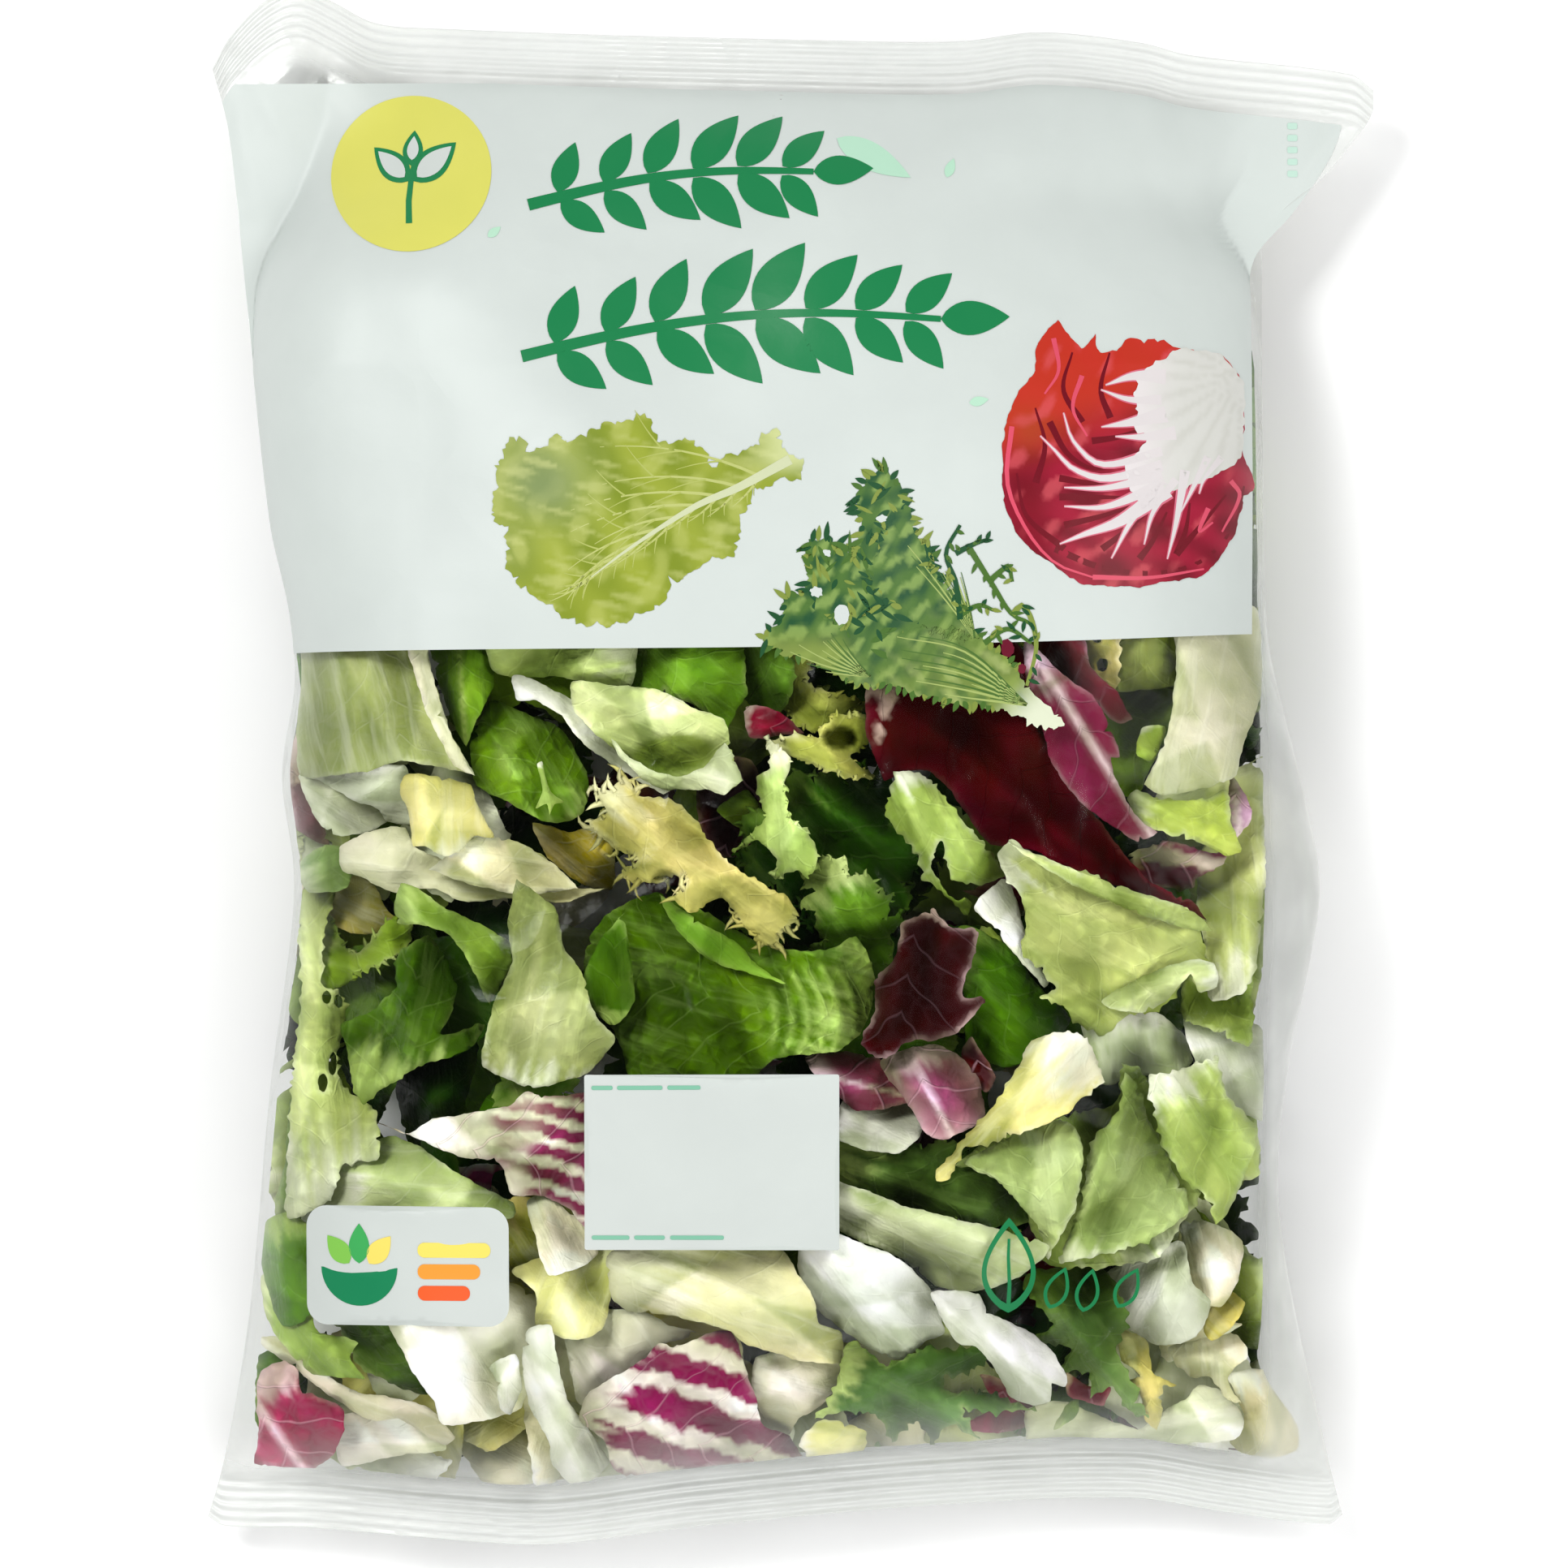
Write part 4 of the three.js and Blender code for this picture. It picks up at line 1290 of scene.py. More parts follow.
leaf("yellow", (-30, -108, 10, -124), [
    (-38, -103), (-4, -101), (2, -108), (5, -113), (6, -118), (11, -121), (11, -128), (11, -128), (4, -127),
    (0, -126), (-9, -123), (-13, -120), (-24, -117), (-34, -116), (-38, -113)], tint=(218, 217, 172),
    white_to=0.3, folds=[(-34, -108, 8, -122, 2.5, 7)])
leaf("white", (6, -101, 26, -126), [
    (2, -102), (10, -99), (15, -101), (24, -105), (30, -112), (33, -121), (29, -123), (24, -127),
    (16, -124), (12, -121), (5, -115), (2, -108)], ribs=0.8, tint=(230, 234, 224),
    folds=[(8, -102, 26, -124, 3, 5), (5, -108, 20, -124, -2, 3)])
leaf("yellow", (60, -62, 32, -88), [
    (31, -88), (31, -86), (36, -80), (45, -69), (51, -58), (51, -58), (58, -56), (63, -58), (67, -67),
    (67, -67), (61, -71), (60, -73), (51, -77), (42, -80), (37, -81), (34, -87)], tooth=0.7, ruffle=3,
    folds=[(36, -84, 58, -62, 3, 3), (46, -76, 62, -66, -3, 3)])
leaf("red", (27, -31, 22, -62), [
    (18, -45), (22, -41), (24, -33), (27, -32), (30, -30), (34, -34), (40, -35), (39, -40), (37, -45),
    (37, -49), (41, -49), (41, -50), (36, -56), (31, -58), (28, -58), (24, -59), (20, -62), (15, -59),
    (18, -52)], tooth=0.5, veins=0.1, white_to=0.02, rim=0.9, tint=(51, 0, 10), facets=6,
    folds=[(24, -34, 20, -58, 3, 3), (33, -36, 28, -56, 3, 2.6), (29, -34, 25, -58, -3, 2.4)])
leaf("light", (46, -16, 90, -34), [
    (46, -16), (46, -16), (53, -19), (66, -24), (78, -28), (86, -31), (90, -35), (90, -35), (84, -34.5),
    (76, -32), (66, -28), (56, -23)], tint=(192, 205, 132), white_to=0.03, ruffle=0.8,
    folds=[(48, -18, 88, -33, 1.2, 1.6)])
leaf("light", (90, -46, 68, -50), [
    (66, -50), (72, -46), (79, -43), (85, -41), (90, -42), (91, -47), (87, -48), (85, -44), (81, -49),
    (76, -52), (70, -52)], tint=(204, 215, 156), white_to=0.15, ruffle=1.5,
    folds=[(70, -50, 88, -43, 1.6, 2)])
leaf("light", (46, -24, 84, -50), [
    (44, -19), (47, -15), (47, -15), (52, -19), (64, -23), (74, -28), (84, -30), (87, -34), (89, -40),
    (91, -46), (91, -46), (87, -48), (85, -43), (82, -49), (78, -52), (72, -53), (67, -57), (64, -56),
    (60, -54), (58, -51), (56, -50), (53, -49), (56, -47), (53, -43), (49, -39), (50, -34), (49, -28),
    (46, -24)], tooth=0.7, tint=(198, 206, 138), white_to=0.12, ruffle=3.5,
    folds=[(50, -20, 84, -32, 2.5, 3), (62, -52, 84, -36, 3, 5), (58, -44, 80, -34, -2, 4)])
leaf("white", (41, -28, 55, -47), [
    (39, -30), (45, -24), (47, -25), (49, -32), (51, -39), (55, -46), (54, -47), (47, -39), (43, -34)],
    thick=1.6, ribs=0.3, folds=[(42, -28, 52, -44, 2, 3)])
leaf("light", (24, -2, 38, -29), [
    (23, -1), (26, -1), (28, -2), (29, -2), (29, -2), (33, -7), (39, -14), (46, -23), (42, -25), (37, -25),
    (34, -24), (33, -19), (32, -16), (30, -21), (32, -25), (35, -28), (39, -29), (37, -31), (31, -26),
    (28, -23), (27, -19), (23, -14), (20, -10), (21, -6)], tooth=1.0, pitch=2.6, tint=(162, 184, 98),
    white_to=0.12, folds=[(26, -3, 43, -23, 3, 3)])
leaf("red", (24, 20, 88, -33), [
    (17, 20), (16, 8), (18, 2), (20, -3), (24, -1), (29, -1), (34, -5), (42, -16), (52, -18), (60, -22),
    (74, -27), (81, -30), (89, -33), (89, -33), (86, -29), (76, -24), (67, -13), (60, -4), (58, 6),
    (54, 18), (46, 28), (30, 30)], veins=0.0, white_to=0.02, tint=(88, 1, 34), edge_tone=(134, 16, 60),
    ruffle=3, rim=0.1, facets=5, folds=[(18, 12, 24, -1, 3, 3), (30, 14, 70, -22, -3, 6),
    (50, 10, 84, -31, 3, 3), (48, 22, 56, -14, 3, 4)])
leaf("chicory", (92, 44, 82, -6), [
    (83, 34), (100, 34), (101, 15), (97, 5), (95, -2), (87, -5), (79, -6), (75, -4), (75, -4), (79, 4),
    (81, 11), (82, 20)], tint=(206, 206, 172), ruffle=1.2, ribs=0.3, folds=[(84, 24, 77, -3, 2.5, 3)])
leaf("light", (-40, 8, -10, -4), [
    (-38, 6), (-34, 2), (-29, -1), (-23, -2), (-18, 0), (-14, 5), (-12, 2), (-10, -3), (-10, -3), (-14, -6),
    (-17, -5), (-26, -5), (-31, -3), (-36, 2)], tint=(226, 232, 200), white_to=0.02, ragged=0.25,
    ruffle=0.8, folds=[(-34, 0, -13, -3, 1.6, 1.6)])
leaf("light", (-52, 0, -50, -9), [
    (-53.6, 0.5), (-52.6, 1), (-51.7, -2.5), (-50.7, -5.5), (-48, -7.6), (-50, -8), (-51, -10.5),
    (-51, -10.5), (-51.6, -8), (-54, -9), (-52.4, -5)], tint=(160, 186, 100), white_to=0.01, rim=0,
    ragged=0.1, ruffle=0.5, creases=0, facets=0, thick=0.8)
leaf("white", (30, -46, 31, -52), [
    (27, -45.5), (29.5, -47.5), (30.5, -46), (31, -48), (34, -47), (32, -49), (33, -51.5), (30.5, -50),
    (29.5, -52.5), (29.2, -49.4), (27, -49.2), (29.2, -48)], tint=(232, 222, 216), ragged=0.1, ruffle=0.4,
    creases=0, facets=0)
leaf("light", (-59, 19, -14, -4), [
    (-46, 18), (-36, 17), (-27, 16), (-20, 12), (-14, 10), (-12, 1), (-10, -3), (-10, -3), (-14, -6),
    (-17, -5), (-26, -4), (-30, -2), (-39, 5), (-46, 12)], tint=(222, 232, 172), ribs=0.4,
    dents=[(-24.8, 2.6, 9.6, 4.4, 6, 1.6)], hollow_tone=(176, 194, 104), folds=[(-40, 14, -16, 6, 2.5, 4),
    (-27, -2.6, -12, -3.4, 2, 2.5), (-14.5, 8, -12, -4, 2.2, 2.5)])
leaf("white", (-59, 19, -26, -5), [
    (-59, 19), (-56, 19), (-48, 15), (-39, 8), (-30, 0), (-25, -4), (-27, -6), (-34, -2), (-39, 1),
    (-45, 6), (-49, 11), (-54, 14), (-58, 14)], thick=1.2, tint=(250, 250, 240),
    folds=[(-57, 17, -28, -3, 1.8, 2)])
leaf("light", (-34, 28, -62, 24), [
    (-64, 34), (-33, 34), (-33, 20), (-35, 15), (-44, 18), (-50, 19), (-63, 20)], tint=(200, 215, 146),
    ribs=0.5, folds=[(-60, 22, -34, 19, 2, 2.5)])
leaf("mid", (-71, 36, -69, 2), [
    (-78, 34), (-65, 34), (-63, 18), (-66, 11), (-69, 4), (-69, 4), (-73, 12), (-75, 18)],
    tint=(130, 167, 54), line=0.6, white_to=0.05, folds=[(-66, 30, -67, 8, 2, 3)])
leaf("mid", (-47, -11, -60, 10), [
    (-64, 14), (-58, 12), (-49, 8), (-45, 2), (-43, -3), (-44, -10), (-49, -12), (-54, -11), (-61, -7),
    (-67, -4), (-68, 0), (-68, 5), (-66, 10)], tint=(140, 179, 44), veins=0.9, swirl=(-55, 1, 6.5),
    ruffle=1.5, white_to=0.2, folds=[(-52, -1, -49, -10, 2, 1.6)])
leaf("lime", (-2, 2, 2, -22), [
    (-5, 6), (-5, 6), (0, 2), (-1, -4), (0, -11), (3, -13), (6, -18), (4, -24), (1, -22), (-3, -24),
    (-3, -20), (-7, -16), (-12, -18), (-7, -13), (-5, -10), (-7, -6), (-7, -2), (-4, 0)], tooth=0.9,
    fringe=1.2, tint=(184, 209, 126), folds=[(-3, 0, 1, -20, 2.5, 3)])
leaf("frisee", (-3, 5, 17, -2), [
    (-5, 5), (2, 7), (6, 6), (6, 8), (10, 11), (16, 11), (17, 5), (13, 2), (18, -2), (18, -2), (14, -3),
    (11, -2), (0, 2)], tooth=1.0, fringe=1.6, dents=[(10.6, 6.0, 3.9, 2.6, 0, 5)],
    hollow_tone=(120, 124, 44), tint=(206, 210, 116))
leaf("crimson", (-9, 9, 3, 7), [
    (-9.5, 12.5), (-3, 12), (3, 7), (3, 7), (-8.5, 6), (-9.5, 8.5)], white_to=0.1, veins=0.2)
leaf("light", (73, -5, 95, -16), [
    (72, -6), (74, -5), (79, -7), (88, -7), (93, -5), (94, -12), (96, -18), (93, -19), (86, -16), (79, -14),
    (75, -13), (73, -10)], tooth=0.6, tint=(190, 206, 98), folds=[(76, -8, 93, -16, 2.5, 2.5)])
leaf("light", (75, 8, 80, 0), [
    (73.5, 2.5), (75, 8), (80, 8.5), (78, 2.5), (76.5, 1)], tint=(168, 190, 78), white_to=0.05)
leaf("stripe", (70, -19, 92, -22), [
    (72, -19), (82, -16), (88, -18), (93, -19), (92, -21), (87, -24), (86, -26), (79, -26), (75, -24)],
    tooth=0.7, bands=(9, 0.5), folds=[(74, -20, 90, -21, 2, 2)])
leaf("stripe", (95, -1, 96, -16), [
    (94.5, -1.5), (98.5, -9.5), (97.5, -13), (95, -15.5), (93.5, -10.5)], tint=(196, 168, 184),
    bands=(4, 0.4))
leaf("mid", (-25, -27, -3, -45), [
    (-28, -27), (-25, -29), (-19, -33), (-12, -37), (-7, -42), (-1, -46), (-1, -46), (-12, -43), (-17, -41),
    (-21, -38), (-25, -33)], tint=(106, 152, 36), veins=0.2, white_to=0.02, edge_tone=(150, 184, 80),
    folds=[(-26, -29, -6, -44, 2, 2)])
leaf("mid", (-36, -52, -38, -30), [
    (-44, -47), (-41, -38), (-35, -31), (-35, -31), (-34, -40), (-33, -50), (-38, -55)], tint=(94, 130, 34),
    white_to=0.02, veins=0.3, folds=[(-38, -34, -38, -50, 2, 3)])
leaf("mid", (14, -58, -34, -44), [
    (-44, -47), (-43, -37), (-37, -30), (-28, -27), (-20, -30), (-5, -38), (8, -39), (14, -36), (18, -45),
    (16, -55), (11, -60), (-3, -62), (-8, -66), (-16, -68), (-33, -68), (-37, -57), (-42, -52)], tooth=0.4,
    tint=(104, 138, 25), veins=1.0, ruffle=4.5, wave=17, ridged=(6, -53, 13, 12, 3.4),
    folds=[(-8, -44, -6, -62, 4, 3), (0, -44, 2, -60, 3.5, 2.6), (-22, -42, -18, -62, 4, 4),
    (-14, -46, -12, -60, -5, 3), (8, -42, 10, -58, 3, 3)])
leaf("mid", (-82, -27, -62, -48), [
    (-83, -25), (-79, -26), (-75, -29), (-67, -33), (-60, -37), (-59, -41), (-64, -51), (-64, -51),
    (-67, -44), (-72, -36), (-77, -34), (-84, -33)], tint=(108, 137, 36), edge_tone=(156, 182, 96),
    folds=[(-82, -28, -64, -46, 3, 2.4)])
leaf("cream", (-77, -22, -46, -26), [
    (-77, -22), (-77, -22), (-73, -19), (-69, -15.5), (-63, -15), (-57, -16.5), (-50, -21), (-45, -26),
    (-45, -26), (-52, -27), (-60, -27), (-68, -25)], tint=(232, 228, 184), ribs=0.6, ruffle=1.6,
    folds=[(-70, -17, -50, -25, 2, 2.4), (-74, -21, -60, -26, -1.5, 1.6)])
leaf("yellow", (-70, -24, -44, -26), [
    (-96, -17), (-90, -14), (-82, -13), (-80, -17), (-73, -20), (-67, -16), (-60, -16), (-53, -19),
    (-45, -26), (-39, -26), (-39, -26), (-49, -29), (-60, -28), (-69, -29), (-76, -26), (-84, -27),
    (-91, -24), (-96, -22)], tint=(230, 228, 178), white_to=0.5, folds=[(-94, -20, -72, -24, 2.5, 3),
    (-66, -19, -48, -27, 3.5, 4)])
leaf("amber", (-54, -13, -40, -24), [
    (-55, -12), (-47, -14), (-38, -12), (-38, -26), (-45, -25), (-52, -19)], tint=(178, 160, 40), ribs=0.3)
leaf("white", (-104, -3, -82, -8), [
    (-105, -2), (-90, 0), (-82, 0), (-81, -4), (-82, -7), (-81, -12), (-86, -12), (-88, -9), (-94, -7),
    (-101, -3)], tint=(234, 236, 226), folds=[(-100, -3, -86, -8, 2, 2.5)])
leaf("grey", (-104, -4, -90, -12), [
    (-106, -2), (-98, -2), (-90, -5), (-84, -9), (-88, -13), (-96, -15), (-100, -13)],
    folds=[(-104, -4, -97, -13, 2.2, 2)])
leaf("hazy", (-106, -22, -88, -14), [
    (-107, -22), (-100, -17), (-95, -17), (-94, -12), (-88, -10), (-83, -12), (-86, -15), (-93, -19),
    (-95, -26), (-103, -27)], tint=(158, 182, 124))
leaf("mauve", (-108, -4, -104, -14), [
    (-106, 8), (-108, 2), (-108, -12), (-104, -15), (-99, -17), (-102, -9), (-104, -3), (-105, 4)],
    tint=(126, 84, 96), veins=0.1, white_to=0.02)
leaf("white", (-107, -15, -100, -19), [
    (-107.5, -14.5), (-98.5, -16.5), (-101, -20.5), (-106.5, -22)], tint=(226, 228, 222))
leaf("mid", (-84, -66, -78, -38), [
    (-84, -41), (-77, -36), (-71, -47), (-72, -52), (-74, -57), (-65, -55), (-68, -60), (-79, -64),
    (-87, -69), (-91, -72), (-93, -69), (-95, -60), (-96, -55), (-89, -52), (-84, -47)], tooth=0.5,
    tint=(80, 110, 34), ruffle=3.5, veins=0.8, folds=[(-88, -68, -72, -50, 3.5, 4),
    (-80, -40, -82, -54, 3, 3)])
leaf("light", (-98, -94, -105, -30), [
    (-107, -26), (-98, -27), (-100, -36), (-100, -41), (-100, -47), (-97, -48), (-95, -52), (-96, -58),
    (-97, -63), (-95, -69), (-89, -73), (-87, -79), (-88, -84), (-95, -85), (-97, -90), (-98, -93),
    (-108, -97), (-108, -85), (-107, -69), (-106, -58), (-105, -47), (-106, -36)], tooth=1.2, pitch=2.8,
    tint=(204, 215, 148), white_to=0.35, ruffle=1.5,
    holes=[
        (-99.3, -49.6, 1.0, 1.4), (-96.8, -50.2, 0.9, 1.5), (-97.8, -63.6, 0.9, 2.4),
        (-99.8, -67.6, 1.0, 2.0)],
    folds=[(-104, -34, -104, -90, 2.2, 2.5), (-99, -48, -99, -70, 1.6, 1.6)])
leaf("stripe", (-88, -78, -38, -86), [
    (-89, -76), (-81, -78), (-76, -75), (-60, -72), (-56, -69), (-52, -70), (-38, -70), (-37, -98),
    (-43, -98), (-47, -94), (-54, -91), (-59, -91), (-62, -84), (-70, -83), (-79, -79)], bands=(4.6, 0.8),
    fade=(0.45, 0.72), tip=(188, 140, 104), ruffle=2.5, folds=[(-84, -77, -44, -82, 3, 3.5),
    (-60, -84, -44, -94, -2.5, 3)])
leaf("cream", (-54, -92, -47, -106), [
    (-56, -93), (-53, -91), (-51, -91), (-47, -95), (-43, -97), (-41, -104), (-51, -108), (-54, -100)],
    tint=(238, 233, 206), folds=[(-53, -93, -46, -104, 2.5, 3)])
leaf("chicory", (-98, -93, -62, -94), [
    (-98, -86), (-86, -79), (-79, -81), (-68, -88), (-59, -93), (-59, -96), (-65, -97), (-72, -98),
    (-87, -98), (-100, -95)], ribs=1.0, tint=(198, 212, 150), edge_tone=(138, 164, 74),
    folds=[(-92, -86, -64, -93, 3, 4)])
leaf("chicory", (11, -91, 52, -110), [
    (9, -88), (24, -93), (36, -96), (47, -99), (55, -102), (51, -107), (40, -112), (31, -111), (24, -105),
    (11, -99), (8, -96)], thick=1.4, ribs=1.0, tint=(214, 221, 178), edge_tone=(150, 172, 96),
    folds=[(10, -92, 54, -104, 4, 4)])
leaf("mauve", (26, -62, 34, -78), [
    (19, -63), (30, -59), (35, -61), (40, -66), (41, -71), (41, -75), (33, -79), (29, -78), (24, -70)],
    line=0.8, tint=(142, 62, 96), edge_tone=(222, 190, 196), folds=[(22, -66, 38, -75, 2.5, 3)])
leaf("mauve", (5, -65, 25, -70), [
    (3, -62), (11, -61), (18, -62), (22, -64), (26, -71), (14, -73), (10, -70)], tint=(146, 76, 104),
    veins=0.4, line=0.5)
leaf("red", (38, -58, 42, -68), [
    (36.5, -61), (38.5, -57.5), (41.5, -62), (43.5, -66), (41.5, -69.5), (38, -65)], veins=0.8)
leaf("grey", (13, -72, 26, -78), [
    (12, -70), (24, -69), (28, -77), (23, -82), (10, -79)], folds=[(13, -73, 26, -79, 2, 2.5)])
leaf("light", (82, -66, 98, -88), [
    (76, -66), (81, -65), (91, -62), (91, -62), (94, -71), (100, -77), (100, -81), (98, -86), (96, -92),
    (94, -95), (91, -98), (88, -91), (85, -89), (81, -84), (78, -76)], tooth=1.0, tint=(184, 202, 120),
    ruffle=3.5, folds=[(80, -70, 96, -90, 3, 4), (90, -64, 98, -82, 2.5, 3)])
leaf("light", (56, -105, 50, -80), [
    (55, -105), (55, -105), (52, -97), (44, -88), (37, -84), (46, -79), (52, -76), (59, -75.5), (62, -80),
    (61, -92)], tint=(188, 204, 142), white_to=0.12, ruffle=1.5, tooth=0.5,
    folds=[(56, -104, 44, -84, 1.6, 2.4), (57, -104, 56, -78, 1.8, 2)])
leaf("light", (60, -105, 74, -76), [
    (57, -106), (57, -106), (62, -92), (64, -80), (70, -73), (71, -65), (74, -68), (77, -76), (81, -84),
    (85, -95), (76, -101), (66, -104)], tint=(173, 190, 129), white_to=0.15, ruffle=1.8, tooth=0.8,
    folds=[(60, -104, 68, -76, 2, 2.4), (62, -104, 76, -82, -1.8, 2), (64, -104, 82, -92, 1.8, 2.4)])
leaf("light", (77, -104, 60, -76), [
    (35, -85), (42, -80), (51, -76), (62, -74), (69, -72), (71, -63), (71, -63), (76, -66), (79, -74),
    (84, -86), (88, -91), (84, -98), (78, -105), (68, -107), (63, -107), (56, -107), (54, -104), (51, -98),
    (50, -91), (43, -86)], tooth=0.9, tint=(188, 203, 140), white_to=0.2, ruffle=2.5,
    folds=[(78, -104, 44, -82, 4, 3), (78, -104, 58, -76, 4.5, 3), (78, -104, 72, -68, 4, 3),
    (78, -104, 50, -90, -3.5, 3), (78, -104, 65, -74, -4, 2.6), (78, -104, 58, -104, 3.5, 3)])
leaf("curly", (12, -82, 46, -94), [
    (10, -76), (20, -79), (30, -80), (40, -82), (49, -87), (49, -99), (36, -98), (24, -96), (9, -90)],
    tooth=1.8, lobes=(4, 7), fringe=1.8, tint=(116, 142, 84), ruffle=3.5, facets=7,
    folds=[(14, -80, 44, -90, 2.5, 2.5), (18, -88, 46, -96, 2, 2)])
leaf("forest", (54, -110, 76, -140), [
    (50, -109), (58, -107), (68, -108), (72, -119), (70, -125), (73, -131), (77, -140), (77, -140),
    (72, -138), (69, -133), (64, -136), (64, -136), (64, -130), (57, -130), (57, -130), (60, -125),
    (52, -123), (52, -123), (56, -119), (52, -114)], tooth=1.2, tint=(84, 112, 60),
    edge_tone=(128, 152, 88), facets=8, ruffle=3, folds=[(54, -112, 70, -132, 3, 2),
    (62, -110, 70, -126, -3, 2)])
leaf("white", (84, -100, 76, -122), [
    (76, -104), (84, -102), (86, -110), (90, -115), (87, -122), (79, -124), (73, -121), (68, -114),
    (67, -110)], thick=1.4, ribs=0.4, folds=[(80, -102, 80, -122, 2.5, 4)])
leaf("cream", (88, -98, 92, -115), [
    (84, -98), (91, -98), (97, -102), (96, -110), (92, -116), (87, -114), (85, -106)],
    folds=[(87, -100, 92, -112, 2.5, 3)])
leaf("amber", (90, -115, 97, -122), [
    (88.5, -120), (90.5, -116), (94.5, -113), (97.5, -115), (95.5, -119.5), (90.5, -123)],
    tint=(214, 206, 120))
leaf("cream", (92, -122, 94, -134), [
    (81, -125), (88, -123), (96, -122), (98, -126), (94, -131), (97, -137), (97, -137), (94, -136),
    (90, -131), (86, -131)], tooth=0.5, folds=[(86, -127, 95, -125, 2, 3)])
leaf("frisee", (74, -123, 79, -142), [
    (71, -121), (75, -122), (77, -124), (78, -130), (83, -133), (83, -133), (80, -133), (80, -139),
    (79, -143), (79, -143), (76, -140), (75, -134), (72, -132), (75, -131), (71, -127)], tooth=0.5,
    tint=(228, 216, 140))
leaf("crimson", (60, -132, 68, -136), [
    (59.5, -130), (64, -133.5), (69, -133.5), (67.5, -137.5), (63, -136.5), (59.5, -135)], white_to=0.1,
    veins=0.3)
leaf("curly", (58, -142, 62, -136), [
    (57, -143), (59.5, -137.5), (62.5, -136), (62.5, -136), (62, -139.5)], tint=(122, 152, 70))
leaf("chicory", (98, -140, 60, -146), [
    (51, -139), (58, -137), (75, -143), (80, -139), (85, -136), (88, -133), (92, -134), (97, -139),
    (98, -142), (96, -145), (87, -146), (80, -147), (74, -148), (60, -149), (47, -150), (51, -147)],
    thick=1.6, ribs=1.2, tint=(246, 248, 222), folds=[(54, -144, 96, -139, 3, 4)])
leaf("yellow", (99, -131, 105, -152), [
    (94, -131), (97, -130), (103, -130), (108, -134), (110, -147), (104, -150), (101, -150), (95, -146),
    (98, -141), (97, -137)], tint=(228, 220, 172), ribs=0.4, folds=[(99, -132, 104, -150, 2.5, 3)])
leaf("crimson", (46, -130, 46, -143), [
    (41, -131), (46, -132), (53, -135), (51, -143), (43, -144), (37, -142), (44, -138)], tint=(150, 54, 88),
    veins=0.3)
leaf("yellow", (3, -146, 14, -146), [
    (2, -145), (7, -140), (12, -141), (16, -143), (16, -148), (11, -151), (5, -150)], tooth=0.6,
    tint=(230, 230, 152))
leaf("stripe", (-40, -140, 4, -152), [
    (-44, -135), (-39, -131), (-31, -126), (-28, -123), (-23, -123), (-18, -121), (-13, -120), (-11, -123),
    (-10, -127), (-9, -130), (-7, -135), (-6, -141), (0, -144), (2, -148), (4, -151), (4, -151), (1, -152),
    (-3, -153), (-15, -153), (-34, -153), (-38, -151), (-40, -144), (-45, -140)], bands=(9.5, 0.75),
    white_to=0.1, ruffle=2, thick=0.8, tint=(142, 44, 90), folds=[(-38, -136, 0, -150, 3, 3),
    (-30, -126, -8, -138, 3, 3), (-38, -148, -8, -153, 2, 2.5)])
leaf("white", (-54, -120, -43, -155), [
    (-56, -120), (-51, -119), (-48, -134), (-43, -143), (-39, -150), (-43, -154), (-47, -155), (-51, -150),
    (-52, -144), (-56, -136), (-57, -128)], thick=2.4, ribs=0.5, folds=[(-54, -121, -44, -152, 3, 3)])
leaf("white", (-60, -126, -60, -138), [
    (-64, -128), (-58.5, -125.5), (-57.5, -132.5), (-60, -139), (-62, -137.5), (-62.5, -132.5)], thick=1.8)
leaf("yellow", (-42, -104, -48, -120), [
    (-59, -107), (-44, -102), (-34, -101), (-38, -112), (-40, -120), (-47, -122), (-54, -119), (-54, -112)],
    tint=(236, 236, 168), folds=[(-54, -110, -42, -106, 2.5, 3), (-48, -108, -46, -120, 2, 3)])
leaf("grey", (-47, -119, -36, -134), [
    (-48, -120), (-41, -116), (-32, -116), (-26, -119), (-20, -121), (-28, -124), (-35, -132), (-45, -137),
    (-47, -128)], tint=(222, 216, 204), thick=1.4, ribs=0.5, folds=[(-44, -118, -42, -134, 3, 3),
    (-36, -118, -36, -128, 2, 2.5)])
leaf("cream", (-80, -112, -64, -140), [
    (-88, -112), (-78, -108), (-60, -110), (-48, -118), (-52, -124), (-56, -133), (-58, -138), (-74, -141),
    (-76, -136), (-81, -128)], tint=(244, 243, 228), ruffle=1.5, folds=[(-82, -118, -66, -138, 2.5, 5)])
leaf("mid", (-110, -98, -106, -120), [
    (-113, -98), (-107, -96), (-102, -100), (-103, -118), (-109, -120), (-114, -107)], tint=(102, 144, 40),
    folds=[(-108, -98, -108, -118, 2, 3)])
leaf("fresh", (-112, -112, -93, -130), [
    (-114, -110), (-108, -108), (-103, -114), (-101, -121), (-95, -122), (-92, -123), (-94, -126),
    (-91, -131), (-91, -131), (-103, -130), (-109, -124), (-113, -118)], tint=(160, 184, 98),
    folds=[(-110, -112, -96, -128, 2.5, 3)])
leaf("crimson", (-116, -136, -104, -154), [
    (-114, -130), (-109, -128), (-106, -130), (-105, -134), (-96, -138), (-96, -143), (-99, -149),
    (-103, -152), (-106, -152), (-116, -151), (-116, -149), (-115, -147), (-115, -143), (-115, -138),
    (-115, -134)], tint=(166, 56, 92), line=1.1, veins=0.7, tooth=0.4,
    folds=[(-114, -138, -106, -152, 2.5, 2.5), (-106, -136, -98, -142, 2.5, 3)])
